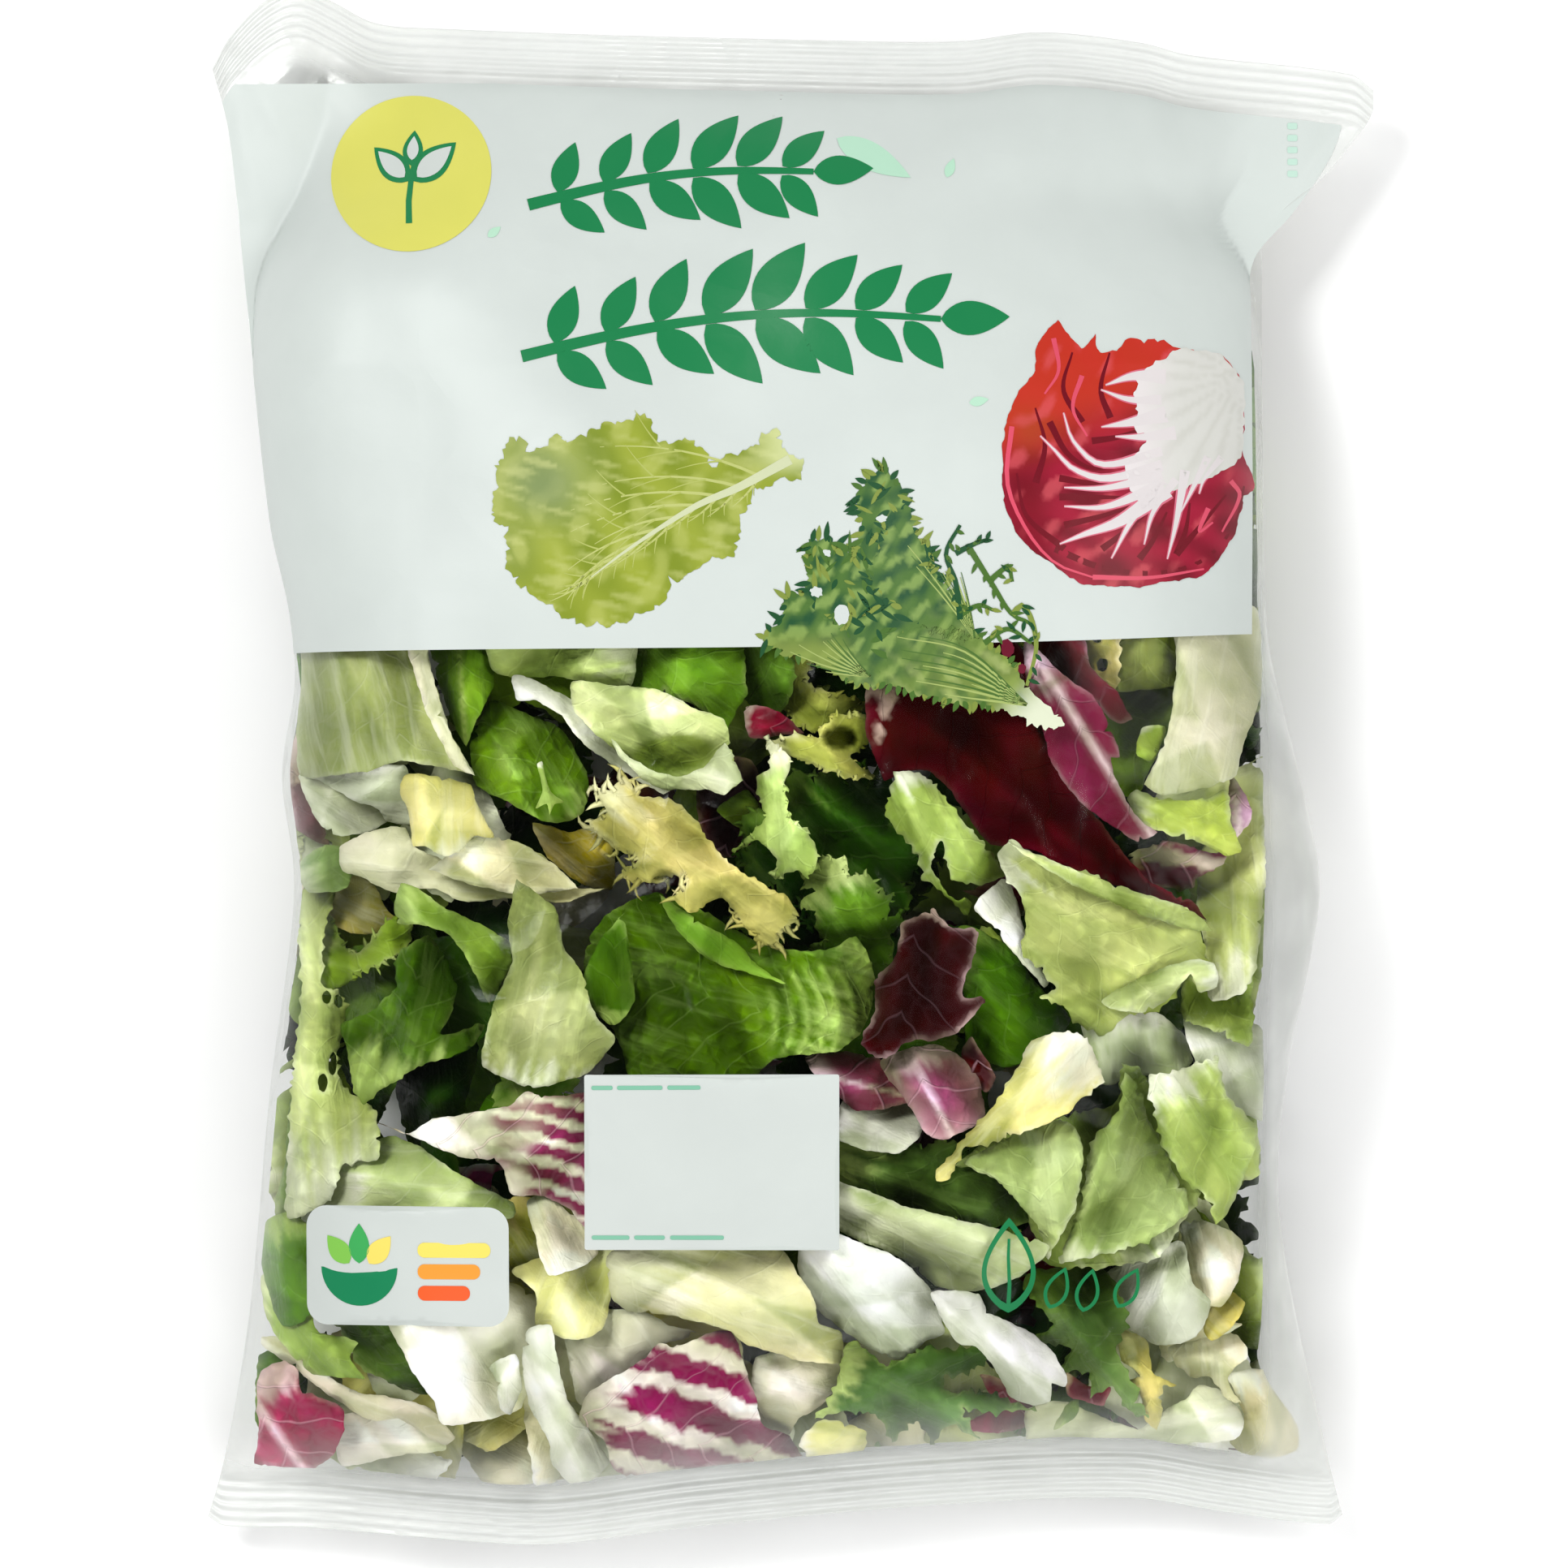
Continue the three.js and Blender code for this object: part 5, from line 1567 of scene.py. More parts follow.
leaf("cream", (-114, -123, -74, -144), [
    (-114, -123), (-110, -123), (-101, -130), (-93, -134), (-86, -135), (-78, -137), (-72, -144),
    (-74, -146), (-84, -140), (-91, -140), (-101, -134), (-109, -128), (-114, -125)], thick=1.6,
    tint=(222, 216, 190), ribs=0.6, folds=[(-112, -124, -78, -141, 2, 2.5)])
leaf("curly", (-98, -118, -84, -132), [
    (-101, -116), (-85, -114), (-81, -126), (-78, -135), (-92, -129), (-95, -123)], tooth=0.8,
    tint=(98, 124, 62))
leaf("cream", (-97, -142, -78, -142), [
    (-98, -141), (-88, -138), (-78, -140), (-74, -147), (-83, -148), (-97, -151)], tint=(238, 235, 222),
    ruffle=1.5)
leaf("cream", (-6, -128, 8, -132), [
    (-7, -126), (13, -126), (8, -136), (2, -140), (-1, -145), (-7, -141)], tint=(230, 225, 208),
    folds=[(-4, -129, 8, -130, 2, 3)])
leaf("hazy", (-111, -98, -107, -70), [
    (-111, -97), (-108.5, -84), (-107.5, -71.5), (-105, -72), (-104.5, -90), (-106, -99)],
    tint=(146, 170, 100))
leaf("chicory", (100, -48, 98, -8), [
    (101, -8), (95, -6), (90, -13), (87, -24), (88, -36), (90, -50), (98, -47), (101, -30)],
    tint=(204, 212, 140), ribs=0.8, tooth=0.6)
leaf("light", (88, -40, 96, -58), [
    (84, -47), (90, -38), (98, -37), (99, -50), (98, -60), (90, -56), (84, -54)], tint=(180, 198, 114),
    tooth=0.6)
leaf("white", (90, -52, 98, -74), [
    (84, -54), (92, -53), (101, -56), (103, -68), (102, -76), (96, -74), (88, -66)], tint=(228, 231, 216),
    ribs=0.6)
leaf("grey", (70, -54, 72, -66), [
    (62, -55), (69, -53), (77, -52), (84, -57), (86, -63), (81, -67), (75, -66), (67, -68)],
    tint=(204, 214, 180), thick=1.2, ribs=0.8, folds=[(70, -54, 71, -66, 2, 3),
    (80, -57, 80, -65, 1.6, 2.5)])
leaf("red", (54, 34, 72, 10), [
    (50, 35), (60, 34), (64, 21), (69, 16), (73, 10), (73, 10), (70, 9), (64, 14), (60, 17), (54, 22)],
    tint=(112, 20, 46), veins=0.1, white_to=0.02)
leaf("yellow", (62, 33, 66, 16), [
    (59, 34), (70, 34), (70, 24), (69, 15), (64, 17), (61, 24)], tint=(206, 198, 112), tooth=0.8,
    holes=[(65.2, 27, 1.0, 0.9), (66.4, 21.6, 1.2, 1.4)])
leaf("hazy", (76, 35, 76, 16), [
    (68, 34), (85, 34), (83, 18), (72, 16), (68, 17)], tint=(168, 178, 100), ribs=0.3)
leaf("mid", (84, 12, 70, 0), [
    (68, 18), (84, 18), (81, 7), (77, 0), (74, -6), (66, -6), (67, 4)], tint=(116, 140, 46))
leaf("fresh", (-34, 32, -14, 14), [
    (-36, 34), (-13, 34), (-9, 16), (-12, 11), (-14, 6), (-19, 12), (-28, 15), (-36, 15)],
    tint=(118, 160, 50), tooth=0.8, folds=[(-24, 22, -11, 13, 2.5, 3)])
leaf("mid", (-10, 34, 0, 14), [
    (-14, 34), (-2, 34), (1, 19), (-2, 11), (-9, 14), (-12, 16)], tint=(108, 142, 56), tooth=0.6)
leaf("frisee", (-2, 26, 14, 12), [
    (-3, 27), (6, 28), (4, 18), (17, 13), (10, 7), (1, 9), (-2, 18)], tint=(188, 196, 108), tooth=1.2,
    pitch=2.6, fringe=1.8)
leaf("lime", (-99, -33, -84, -38), [
    (-103, -32), (-98, -33), (-96, -37), (-93, -40), (-86, -33), (-81, -34), (-82, -39), (-93, -45),
    (-101, -49)], tint=(150, 178, 66), tooth=1.2, pitch=2.6, ruffle=3, fringe=2.2)
leaf("amber", (-100, -26, -90, -30), [
    (-102, -25), (-90, -24), (-87, -30), (-84, -34), (-92, -36), (-101, -33)], tint=(172, 166, 104))
leaf("dark", (-86, -40, -66, -50), [
    (-97, -40), (-88, -38), (-80, -38), (-70, -36), (-62, -44), (-64, -56), (-72, -62), (-84, -58),
    (-96, -56)], tint=(70, 106, 28), sink=3, ruffle=4)
leaf("curly", (6, -26, 22, -44), [
    (4, -20), (12, -22), (20, -26), (23, -34), (20, -47), (10, -44), (5, -36)], tooth=1.8, pitch=3.2,
    tint=(104, 142, 46), sink=1, ruffle=4, lobes=(5, 7), fringe=2.0)
leaf("forest", (-2, -4, 24, -30), [
    (-3, -2), (8, -1), (20, -4), (24, -12), (26, -24), (22, -34), (10, -36), (2, -30), (-6, -26),
    (-12, -20), (-8, -10)], tooth=1.4, lobes=(7, 9), fringe=2.4, sink=2, ruffle=6, wave=13,
    creases=6, tint=(60, 98, 26))
leaf("forest", (14, -8, 30, -26), [
    (8, -6), (20, -2), (32, -8), (34, -20), (28, -30), (14, -34), (6, -24)], tooth=1.2, lobes=(6, 8),
    fringe=2.0, sink=3, ruffle=5, wave=12)
leaf("mid", (-6, -12, -16, -8), [
    (-15.5, -9.5), (-9, -5), (-5.5, -11), (-8, -14.5)], tint=(138, 160, 58), sink=1)
leaf("red", (-10, 4, -14, -18), [
    (-19, 2), (-8, 1), (-6, -8), (-8, -18), (-17, -19), (-20, -8)], tint=(64, 6, 18), sink=3)
leaf("dark", (36, -40, 56, -56), [
    (36, -34), (46, -38), (54, -48), (60, -54), (54, -60), (46, -64), (38, -60), (37, -50)],
    tint=(92, 136, 30), sink=1, ruffle=3)
leaf("amber", (-60, -94, -48, -112), [
    (-60, -92), (-50, -95), (-48, -108), (-56, -112), (-62, -104)], tint=(176, 180, 84), sink=1)
leaf("lime", (44, -32, 50, -46), [
    (38, -36), (43, -34), (48, -42), (50, -48), (44, -50), (40, -44)], tooth=1.8, pitch=2.4,
    tint=(190, 206, 110), holes=[(43.8, -41.6, 1.9, 1.6)])


# The pile: how deep the leaves already laid reach, from the upper film down and from the lower film up

GRID_LOW = np.array([-132.0, -174.0])
GRID_SIZE = (349, 265)  # rows along the bag and columns across it, one for each millimetre
FILM_GAP = 0.7
LEAF_GAP = 0.6
# How far the leaves keep from the seals, and the share of the bag's width that they fill
TAIL_GAP = 2.5
HEAD_GAP = 3.5
FILLED_WIDTH = 0.986
DRAWN_IN = 1.012
from_top = np.zeros(GRID_SIZE)
from_floor = np.zeros(GRID_SIZE)


def inner_films(x, y):
    """Heights of the lower and the upper film at a place, drawn in a little at the sides."""
    across, along = bag_place(x, y)
    _, _, low, high = films(np.clip(across * DRAWN_IN, -1, 1), along, fine=False)
    return low + FILM_GAP, high - FILM_GAP


def keep_in(points):
    """Moves plan points that lie in a seal or past a side back into the filled bag."""
    x, y = points[:, 0].copy(), points[:, 1].copy()
    y = np.clip(y, tail_edge(x) + SEAL_WIDTH + TAIL_GAP, head_edge(x) - SEAL_WIDTH - HEAD_GAP)
    across, along = bag_place(x, y)
    share = np.minimum(body_share(y), 1)
    left, right = side_lines(along)
    limit = FILLED_WIDTH * share
    x = mix(left, right, (np.clip(across, -limit, limit) + 1) / 2)
    x = np.minimum(x, mix(101.6, 110.5, ease(128, 146, -y)))
    return np.column_stack([x, y])


def windows(points, margin):
    """The part of the grid around some points."""
    low = np.floor(points.min(0) - GRID_LOW - margin).astype(int)
    high = np.ceil(points.max(0) - GRID_LOW + margin).astype(int) + 1
    low = np.maximum(low, 0)
    high = np.minimum(high, (GRID_SIZE[1], GRID_SIZE[0]))
    return slice(low[1], high[1]), slice(low[0], high[0])


def softened(depth, reach=3, blur=4):
    """The depth as a leaf below would feel it: widened, then smoothed."""
    wide = depth.copy()
    for axis in (0, 1):
        base = wide.copy()
        for k in range(1, reach + 1):
            for way in (-k, k):
                wide = np.maximum(wide, np.roll(base, way, axis))
    for axis in (0, 1):
        base = wide.copy()
        total = base.copy()
        for k in range(1, blur + 1):
            total += np.roll(base, k, axis) + np.roll(base, -k, axis)
        wide = total / (2 * blur + 1)
    return wide


def read_grid(grid, corner, points):
    """Values of a grid window between its cells."""
    at = points - GRID_LOW - corner
    column = np.clip(at[:, 0], 0, grid.shape[1] - 1.001)
    row = np.clip(at[:, 1], 0, grid.shape[0] - 1.001)
    c, r = column.astype(int), row.astype(int)
    u, v = column - c, row - r
    near = grid[r, c] * (1 - u) + grid[r, c + 1] * u
    far = grid[r + 1, c] * (1 - u) + grid[r + 1, c + 1] * u
    return near * (1 - v) + far * v


def write_grid(depth, points, faces, values):
    """Deepens the grid under a leaf."""
    corners = points[faces]
    levels = values[faces]
    spots = [corners[:, 0], corners[:, 1], corners[:, 2], corners.mean(1)]
    spots += [(corners[:, a] + corners[:, b]) / 2 for a, b in ((0, 1), (1, 2), (2, 0))]
    marks = [levels[:, 0], levels[:, 1], levels[:, 2], levels.mean(1)]
    marks += [(levels[:, a] + levels[:, b]) / 2 for a, b in ((0, 1), (1, 2), (2, 0))]
    cells = np.rint(np.vstack(spots) - GRID_LOW).astype(int)
    cells = np.clip(cells, 0, (GRID_SIZE[1] - 1, GRID_SIZE[0] - 1))
    np.maximum.at(depth, (cells[:, 1], cells[:, 0]), np.concatenate(marks))


# Painted shade: the share of each colour taken off for each millimetre that a leaf lies under the film, for the
# shade of the leaves above it
DEPTH_SHADE = np.array([0.040, 0.034, 0.075])
TRAITS = dict(
    tooth=0.0, pitch=3.0, lobes=None, ragged=0.22, sink=0.0, ruffle=2.8, wave=22.0, curl=1.4, creases=4,
    thick=0.45, rim=0.35, fringe=0.0, fringe_at=(), ribs=0.0, line=0.0, veins=0.5, facets=4,
    white_to=0.25, folds=(), dents=(), holes=(), bands=None, fade=None, swirl=None, tip=None, tint=None,
    edge_tone=None, hollow_tone=None, ridged=None, spacing=1.0,
)
# Depths in a leaf's form in millimetres; how much the painted light and shade make the two sides of a fold
# lighter and darker, and the painted highlight on ridges and swirls
FINE_WAVE = 0.16
FACET_SLOPE = 0.28
RIDGE_DEPTH = 1.3
RIB_DEPTH = 0.07
MIDRIB_DEPTH = 0.9
SWIRL_DEPTH = 2.0
FACET_SHADE = 0.28
RIDGE_HIGHLIGHT = (168, 196, 104)
kinds = {}


def crease(x, y, x0, y0, x1, y1, height, width):
    """A fold along a line, sharp along its crest."""
    t, squared = line_place(x, y, x0, y0, x1, y1)
    away = np.sqrt(squared + 0.5)
    return height * np.exp(-(away - 0.7) / width) * (1 - 0.35 * t)


def rib_lines(u, v, seed):
    """Uneven ridges that run along a leaf and spread a little towards its tip."""
    rng = np.random.default_rng(seed)
    spread = v / (1 + 0.006 * (u - 10))
    total = 0
    for length in (2.4, 3.3, 4.7, 8.0, 13.0):
        drift = 0.02 * u * rng.uniform(-1, 1)
        total = total + np.sin(2 * np.pi * (spread + drift) / length + rng.uniform(0, 6.3))
    return total * 0.55


def facet_lines(u, v, length, count, rng):
    """Straight folds across a leaf: the distance from each one, and its strength at each point."""
    reach = max(6.0, np.ptp(v))
    lines = []
    for _ in range(count):
        turn = rng.normal(0, 0.55) + (math.pi / 2 if rng.uniform() < 0.25 else 0)
        foot_u, foot_v = rng.uniform(0.1, 0.9) * length, rng.uniform(-0.35, 0.35) * reach
        along = (u - foot_u) * math.cos(turn) + (v - foot_v) * math.sin(turn)
        away = (v - foot_v) * math.cos(turn) - (u - foot_u) * math.sin(turn)
        away = away + 0.012 * along**2 * rng.uniform(-1, 1)
        lasting = ease(-0.75, -0.2, rng.choice([-1, 1]) * along / length)
        lines.append((away, lasting * rng.uniform(0.45, 1.0) * rng.choice([-1, 1])))
    return lines


def leaf_relief(x, y, u, v, edge, length, facets, traits, rng):
    """How far each point of a leaf hangs below its highest point, in millimetres."""
    seed = int(rng.integers(1e6))
    ruffle = traits["ruffle"]
    hang = 0.004 * v**2 * rng.uniform(-0.6, 1.0) + 0.0012 * (u - length / 2) ** 2
    hang = hang + ruffle * (0.5 + 0.5 * patchy(x, y, traits["wave"], seed))
    hang = hang + 0.5 * ruffle * np.exp(-edge / 4) * patchy(x, y, 14, seed + 1)
    curl = ease(0.1, 0.8, patchy(x, y, 26, seed + 4)) - 0.6 * ease(0.1, 0.8, -patchy(x, y, 26, seed + 4))
    hang = hang - traits["curl"] * curl * np.exp(-edge / 2.0)
    hang = hang + FINE_WAVE * patchy(x, y, 6.0, seed + 2)
    for away, strength in facets:
        hang = hang + FACET_SLOPE * strength * np.minimum(np.abs(away), 9)
    if traits["ridged"]:
        crest, share = ridge_rows(x, y, *traits["ridged"])
        hang = hang - RIDGE_DEPTH * crest * share
    hang = hang - RIB_DEPTH * traits["ribs"] * rib_lines(u, v, seed + 3)
    if traits["line"]:
        hang = hang - MIDRIB_DEPTH * traits["line"] * np.exp(-(v**2) / 1.6)
    reach = max(6.0, np.ptp(v))
    for _ in range(traits["creases"]):
        foot, head = rng.uniform(-0.15, 0.5) * length, rng.uniform(0.6, 1.2) * length
        side = rng.uniform(-0.5, 0.5, 2) * reach
        tall = rng.uniform(0.5, 1.6) * rng.choice([-1, 1]) * min(1, ruffle / 2)
        hang = hang - crease(u, v, foot, side[0] * 0.5, head, side[1], tall, rng.uniform(1.2, 3.4))
    for fold in traits["folds"]:
        hang = hang - crease(x, y, *fold)
    for cx, cy, rx, ry, angle, depth in traits["dents"]:
        hang = hang + depth * dent_share(x, y, cx, cy, rx, ry, angle)
    if traits["swirl"]:
        spiral, share = swirl_wave(x, y, *traits["swirl"])
        hang = hang + SWIRL_DEPTH * spiral * share
    return hang - hang.min()


def swirl_wave(x, y, cx, cy, size):
    """A spiral wave round the middle of a rolled leaf, and where it shows."""
    far = np.hypot(x - cx, y - cy)
    spiral = np.sin(np.arctan2(y - cy, x - cx) + far / size * 2.2)
    return spiral, np.exp(-((far / size - 0.9) ** 2) * 1.5)


def ridge_rows(x, y, cx, cy, rx, ry, pitch):
    """Bowed ridges side by side in one part of a leaf: their height from 0 to 1, and where they are."""
    bow = x - cx + 0.03 * (y - cy) ** 2
    crest = (0.5 + 0.5 * np.sin(2 * np.pi * bow / pitch + 0.8 * np.sin(y / 4))) ** 2
    return crest, 1 - ease(0.5, 1.1, ((x - cx) / rx) ** 2 + ((y - cy) / ry) ** 2)


def dent_share(x, y, cx, cy, rx, ry, angle):
    """1 in the middle of an oval hollow and 0 outside it."""
    c, s = math.cos(math.radians(angle)), math.sin(math.radians(angle))
    dx, dy = x - cx, y - cy
    ring = ((c * dx + s * dy) / rx) ** 2 + ((c * dy - s * dx) / ry) ** 2
    return 1 - ease(0.35, 1.15, ring)


def leaf_shades(x, y, u, v, edge, length, facets, sort, traits, rng):
    """The painted colour of each point, with painted light and shade on its folds, and its vein strength in the
    fourth value.
    """
    rib_tone, blade_tone, edge_tone, _ = SORTS[sort]
    blade = pigment(traits["tint"] or blade_tone)
    rim = pigment(traits["edge_tone"] or edge_tone)
    if traits["tint"] and not traits["edge_tone"]:
        rim = 0.45 * rim + 0.55 * blade
    seed = int(rng.integers(1e6))
    colour = np.tile(blade, (len(x), 1))

    def cover(tone, share):
        nonlocal colour
        share = np.clip(share, 0, 1)[:, None]
        colour = colour * (1 - share) + tone * share

    cover(rim, 0.6 * np.exp(-edge / 3.0))
    rib = pigment(rib_tone)
    cover(rib, traits["rim"] * np.exp(-edge / 0.4) * ease(-0.5, 0.5, patchy(x, y, 14, seed + 11)))
    if traits["bands"]:
        period, strength = traits["bands"]
        wave = np.sin(2 * np.pi * (v + 0.8 * patchy(x, y, 17, seed) + 0.05 * u) / period)
        white = ease(0.15, 0.5, wave + 0.45 * patchy(x, y, 5, seed + 5))
        cover(rib, strength * 1.25 * white)
    if traits["fade"]:
        start, end = traits["fade"]
        cover(rib, 1 - ease(start, end, u / length + 0.12 * patchy(x, y, 10, seed + 7)))
    streaks = 0.07 * rib_lines(u, v, seed + 6) * min(1, 6 * traits["white_to"])
    streaks = streaks + 0.05 * patchy(x, y, 9, seed + 6)
    cover(rib, 0.9 * (1 - ease(0, max(traits["white_to"], 0.01), u / length + streaks)))
    if traits["line"]:
        cover(rib, 0.95 * np.exp(-((v / (0.9 * traits["line"])) ** 2)))
    if traits["ribs"]:
        comb = rib_lines(u, v, seed + 3)
        cover(rib, 0.2 * traits["ribs"] * ease(-0.2, 1.6, comb) * (0.6 + 0.4 * patchy(x, y, 26, seed + 8)))
    # Painted shade in each hollow, where one is given
    for cx, cy, rx, ry, angle, _ in traits["dents"]:
        if traits["hollow_tone"]:
            cover(pigment(traits["hollow_tone"]), 1.4 * dent_share(x, y, cx, cy, rx, ry, angle))
    if traits["ridged"]:
        crest, share = ridge_rows(x, y, *traits["ridged"])
        # Painted highlight on the crests of the ridges
        cover(pigment(RIDGE_HIGHLIGHT), 0.75 * crest * share)
    if traits["swirl"]:
        spiral, share = swirl_wave(x, y, *traits["swirl"])
        # Painted highlight on the raised turns of the swirl
        cover(pigment(RIDGE_HIGHLIGHT), 0.7 * ease(0.3, 0.9, -spiral) * share)
    if traits["tip"]:
        cover(pigment(traits["tip"]), 0.8 * (1 - ease(0.0, 0.16, u / length)))
    # Uneven tone at random, then painted light and shade on each fold: one side lighter, the other darker, with
    # a painted highlight along its crease
    light = 1 + 0.16 * patchy(x, y, 17, seed + 9) + 0.08 * patchy(x, y, 6, seed + 10)
    for away, strength in facets:
        light = light * (1 + FACET_SHADE * strength * np.tanh(away / 0.5) * np.exp(-np.abs(away) / 14))
        light = light + 0.12 * np.abs(strength) * np.exp(-((away / 0.5) ** 2))
    colour = colour * np.clip(light, 0.5, 1.5)[:, None] ** [0.95, 0.8, 1.3]
    return np.column_stack([np.clip(colour, 0.002, 0.98), np.full(len(x), traits["veins"])])


# Spacing of the points on a leaf's edge, for a toothed edge and for a plain one
TOOTHED_STEP = 0.45
PLAIN_STEP = 0.65
# The least room between the films, and the room in which a leaf has its full waves, depth and thickness
LEAST_ROOM = 0.8
WAVE_ROOM = 34
SINK_ROOM = 40
THICK_ROOM = 12
# Room kept free on the far side of a leaf
FAR_GAP = 0.15


def leaf_loops(outline, traits, rng):
    """A leaf's uneven edge and the edges of its holes, kept inside the bag."""
    curve = smooth_outline(outline, TOOTHED_STEP if traits["tooth"] > 0.5 else PLAIN_STEP)
    if traits["lobes"]:
        curve = with_lobes(curve, *traits["lobes"], rng)
    loops = [with_teeth(curve, traits["tooth"], traits["pitch"], rng, traits["ragged"])]
    for hole in traits["holes"]:
        loops.append(with_teeth(disc(*hole, steps=16), 0.25, 1.2, rng, 0.1)[::-1])
    return [keep_in(loop) for loop in loops]


def closed_leaf(x, y, top, bottom, faces):
    """A leaf as one thin closed solid: its two skins and the rim between them."""
    count = len(x)
    rim = rim_edges(faces)
    sides = np.column_stack([rim[:, 1], rim[:, 0], rim[:, 0] + count, rim[:, 1] + count])
    solid = [tuple(f) for part in (faces, faces[:, ::-1] + count, sides) for f in part]
    return np.vstack([np.column_stack([x, y, top]), np.column_stack([x, y, bottom])]), solid


def lay_leaf(sort, rib, outline, given, rng, depth, on_floor=False):
    """Shapes one leaf, lays it under (or over) what is there already, and gathers it with its kind."""
    traits = {**TRAITS, **given}
    base, tip = np.array(rib[:2], float), np.array(rib[2:], float)
    length = max(1.0, float(np.hypot(*(tip - base))))
    along = (tip - base) / length
    piece = SORTS[sort][3]
    loops = leaf_loops(outline, traits, rng)
    points, faces = fill_outline(loops, traits["spacing"], rng)
    if len(faces) < 4:
        return
    x, y = points.T
    u = (points - base) @ along
    v = (points - base) @ np.array([-along[1], along[0]])
    edge = edge_distance(points, loops)
    facets = facet_lines(u, v, length, traits["facets"], rng)
    relief = leaf_relief(x, y, u, v, edge, length, facets, traits, rng)
    low, high = inner_films(x, y)
    room = np.maximum(high - low, LEAST_ROOM)
    rows, columns = windows(points, 12)
    corner = np.array([columns.start, rows.start])
    above = read_grid(softened(depth[rows, columns]), corner, points)
    relief = relief * np.clip(room / WAVE_ROOM, 0.12, 1)
    sink = traits["sink"] * np.clip(room / SINK_ROOM, 0, 1)
    thick = traits["thick"] * np.clip(edge / 1.2, 0.35, 1) * np.clip(room / THICK_ROOM, 0.3, 1)
    if on_floor:
        room = np.maximum(room - read_grid(from_top[rows, columns], corner, points), LEAST_ROOM)
    drop = np.maximum(np.minimum(above + sink + relief, room - thick - FAR_GAP), 0)
    bottom = low + drop if on_floor else high - drop - thick
    top = low + drop + thick if on_floor else high - drop
    write_grid(depth, points, faces, drop + thick + LEAF_GAP)
    shades = leaf_shades(x, y, u, v, edge, length, facets, sort, traits, rng)
    # Painted light and shade: parts of a leaf that hang low are painted darker and parts that stand up lighter
    shades[:, :3] *= np.clip(1 - 0.09 * (relief - relief.mean()), 0.5, 1.22)[:, None]
    # Painted shade: a leaf that lies deep under the film is painted darker, a pale chicory piece less so
    if not on_floor:
        depth_shade = DEPTH_SHADE * (0.45 if piece == "chicory_pieces" else 1)
        shades[:, :3] *= np.exp(-np.clip(drop - 1.5, 0, 30)[:, None] * depth_shade)
    shades[:, :3] = np.clip(shades[:, :3], 0.001, 0.97)
    both, solid = closed_leaf(x, y, top, bottom, faces)
    plan = np.column_stack([u, v]) / 10
    gathered = kinds.setdefault(piece, Gathered())
    gathered.add(both, solid, np.vstack([shades, shades]), np.vstack([plan, plan]))
    if traits["fringe"]:
        near = np.array([np.argmin(((points - q) ** 2).sum(1)) for q in loops[0]])
        add_fringe(gathered, loops[0], (top + bottom)[near] / 2, shades[near], traits, rng)


def add_fringe(gathered, curve, z_at, shades_at, traits, rng):
    """Small curled spikes on the edge of a frilly leaf, each a thin closed solid."""
    out = outward(curve)
    run = np.cumsum(np.hypot(*(np.roll(curve, -1, 0) - curve).T))
    places = traits["fringe_at"]
    at = 0.0
    faces = [(0, 3, 2, 1)]
    for ring in (0, 4):
        faces += [(ring + k, ring + (k + 1) % 4, ring + 4 + (k + 1) % 4, ring + 4 + k) for k in range(4)]
    faces += [(8 + k, 8 + (k + 1) % 4, 12) for k in range(4)]
    while at < run[-1]:
        at += rng.uniform(0.9, 2.6) if places else rng.uniform(1.6, 3.8)
        i = min(int(np.searchsorted(run, at)), len(curve) - 1)
        x, y = curve[i]
        if places and not any(math.hypot(x - cx, y - cy) < reach for cx, cy, reach in places):
            continue
        heading = math.atan2(out[i, 1], out[i, 0]) + rng.normal(0, 0.45)
        bend = rng.normal(0, 1.3)
        size = traits["fringe"] * rng.uniform(0.4, 1.25)
        width = rng.uniform(0.4, 0.85)
        lift = rng.normal(0, 0.35)
        place = np.array([*(curve[i] - 0.8 * out[i]), z_at[i]])
        points = []
        for t, w in ((0.0, 1.0), (0.4, 0.85), (0.75, 0.5)):
            turn = heading + bend * t
            side = np.array([-math.sin(turn), math.cos(turn), 0]) * width * w
            up = np.array([0, 0, 0.16])
            points += [place - side, place + up, place + side, place - up]
            place = place + np.array([math.cos(turn), math.sin(turn), lift * t]) * size * 0.38
        points.append(place)
        shades = np.tile(shades_at[i], (13, 1))
        shades[:, :3] *= rng.uniform(0.8, 1.15)
        gathered.add(np.array(points), faces, shades, np.array(points)[:, :2] / 10)


def filler_outline(cx, cy, size, rng):
    """The uneven outline of a cut piece of leaf."""
    count = int(rng.integers(6, 10))
    angles = np.sort(rng.uniform(0, 2 * math.pi, count) * 0.35 + np.arange(count) * 2 * math.pi / count)
    radii = size * rng.uniform(0.6, 1.15, count)
    stretch, turn = rng.uniform(0.5, 0.85), rng.uniform(0, math.pi)
    px, py = radii * np.cos(angles), radii * np.sin(angles) * stretch
    c, s = math.cos(turn), math.sin(turn)
    return np.column_stack([cx + c * px - s * py, cy + s * px + c * py]), turn


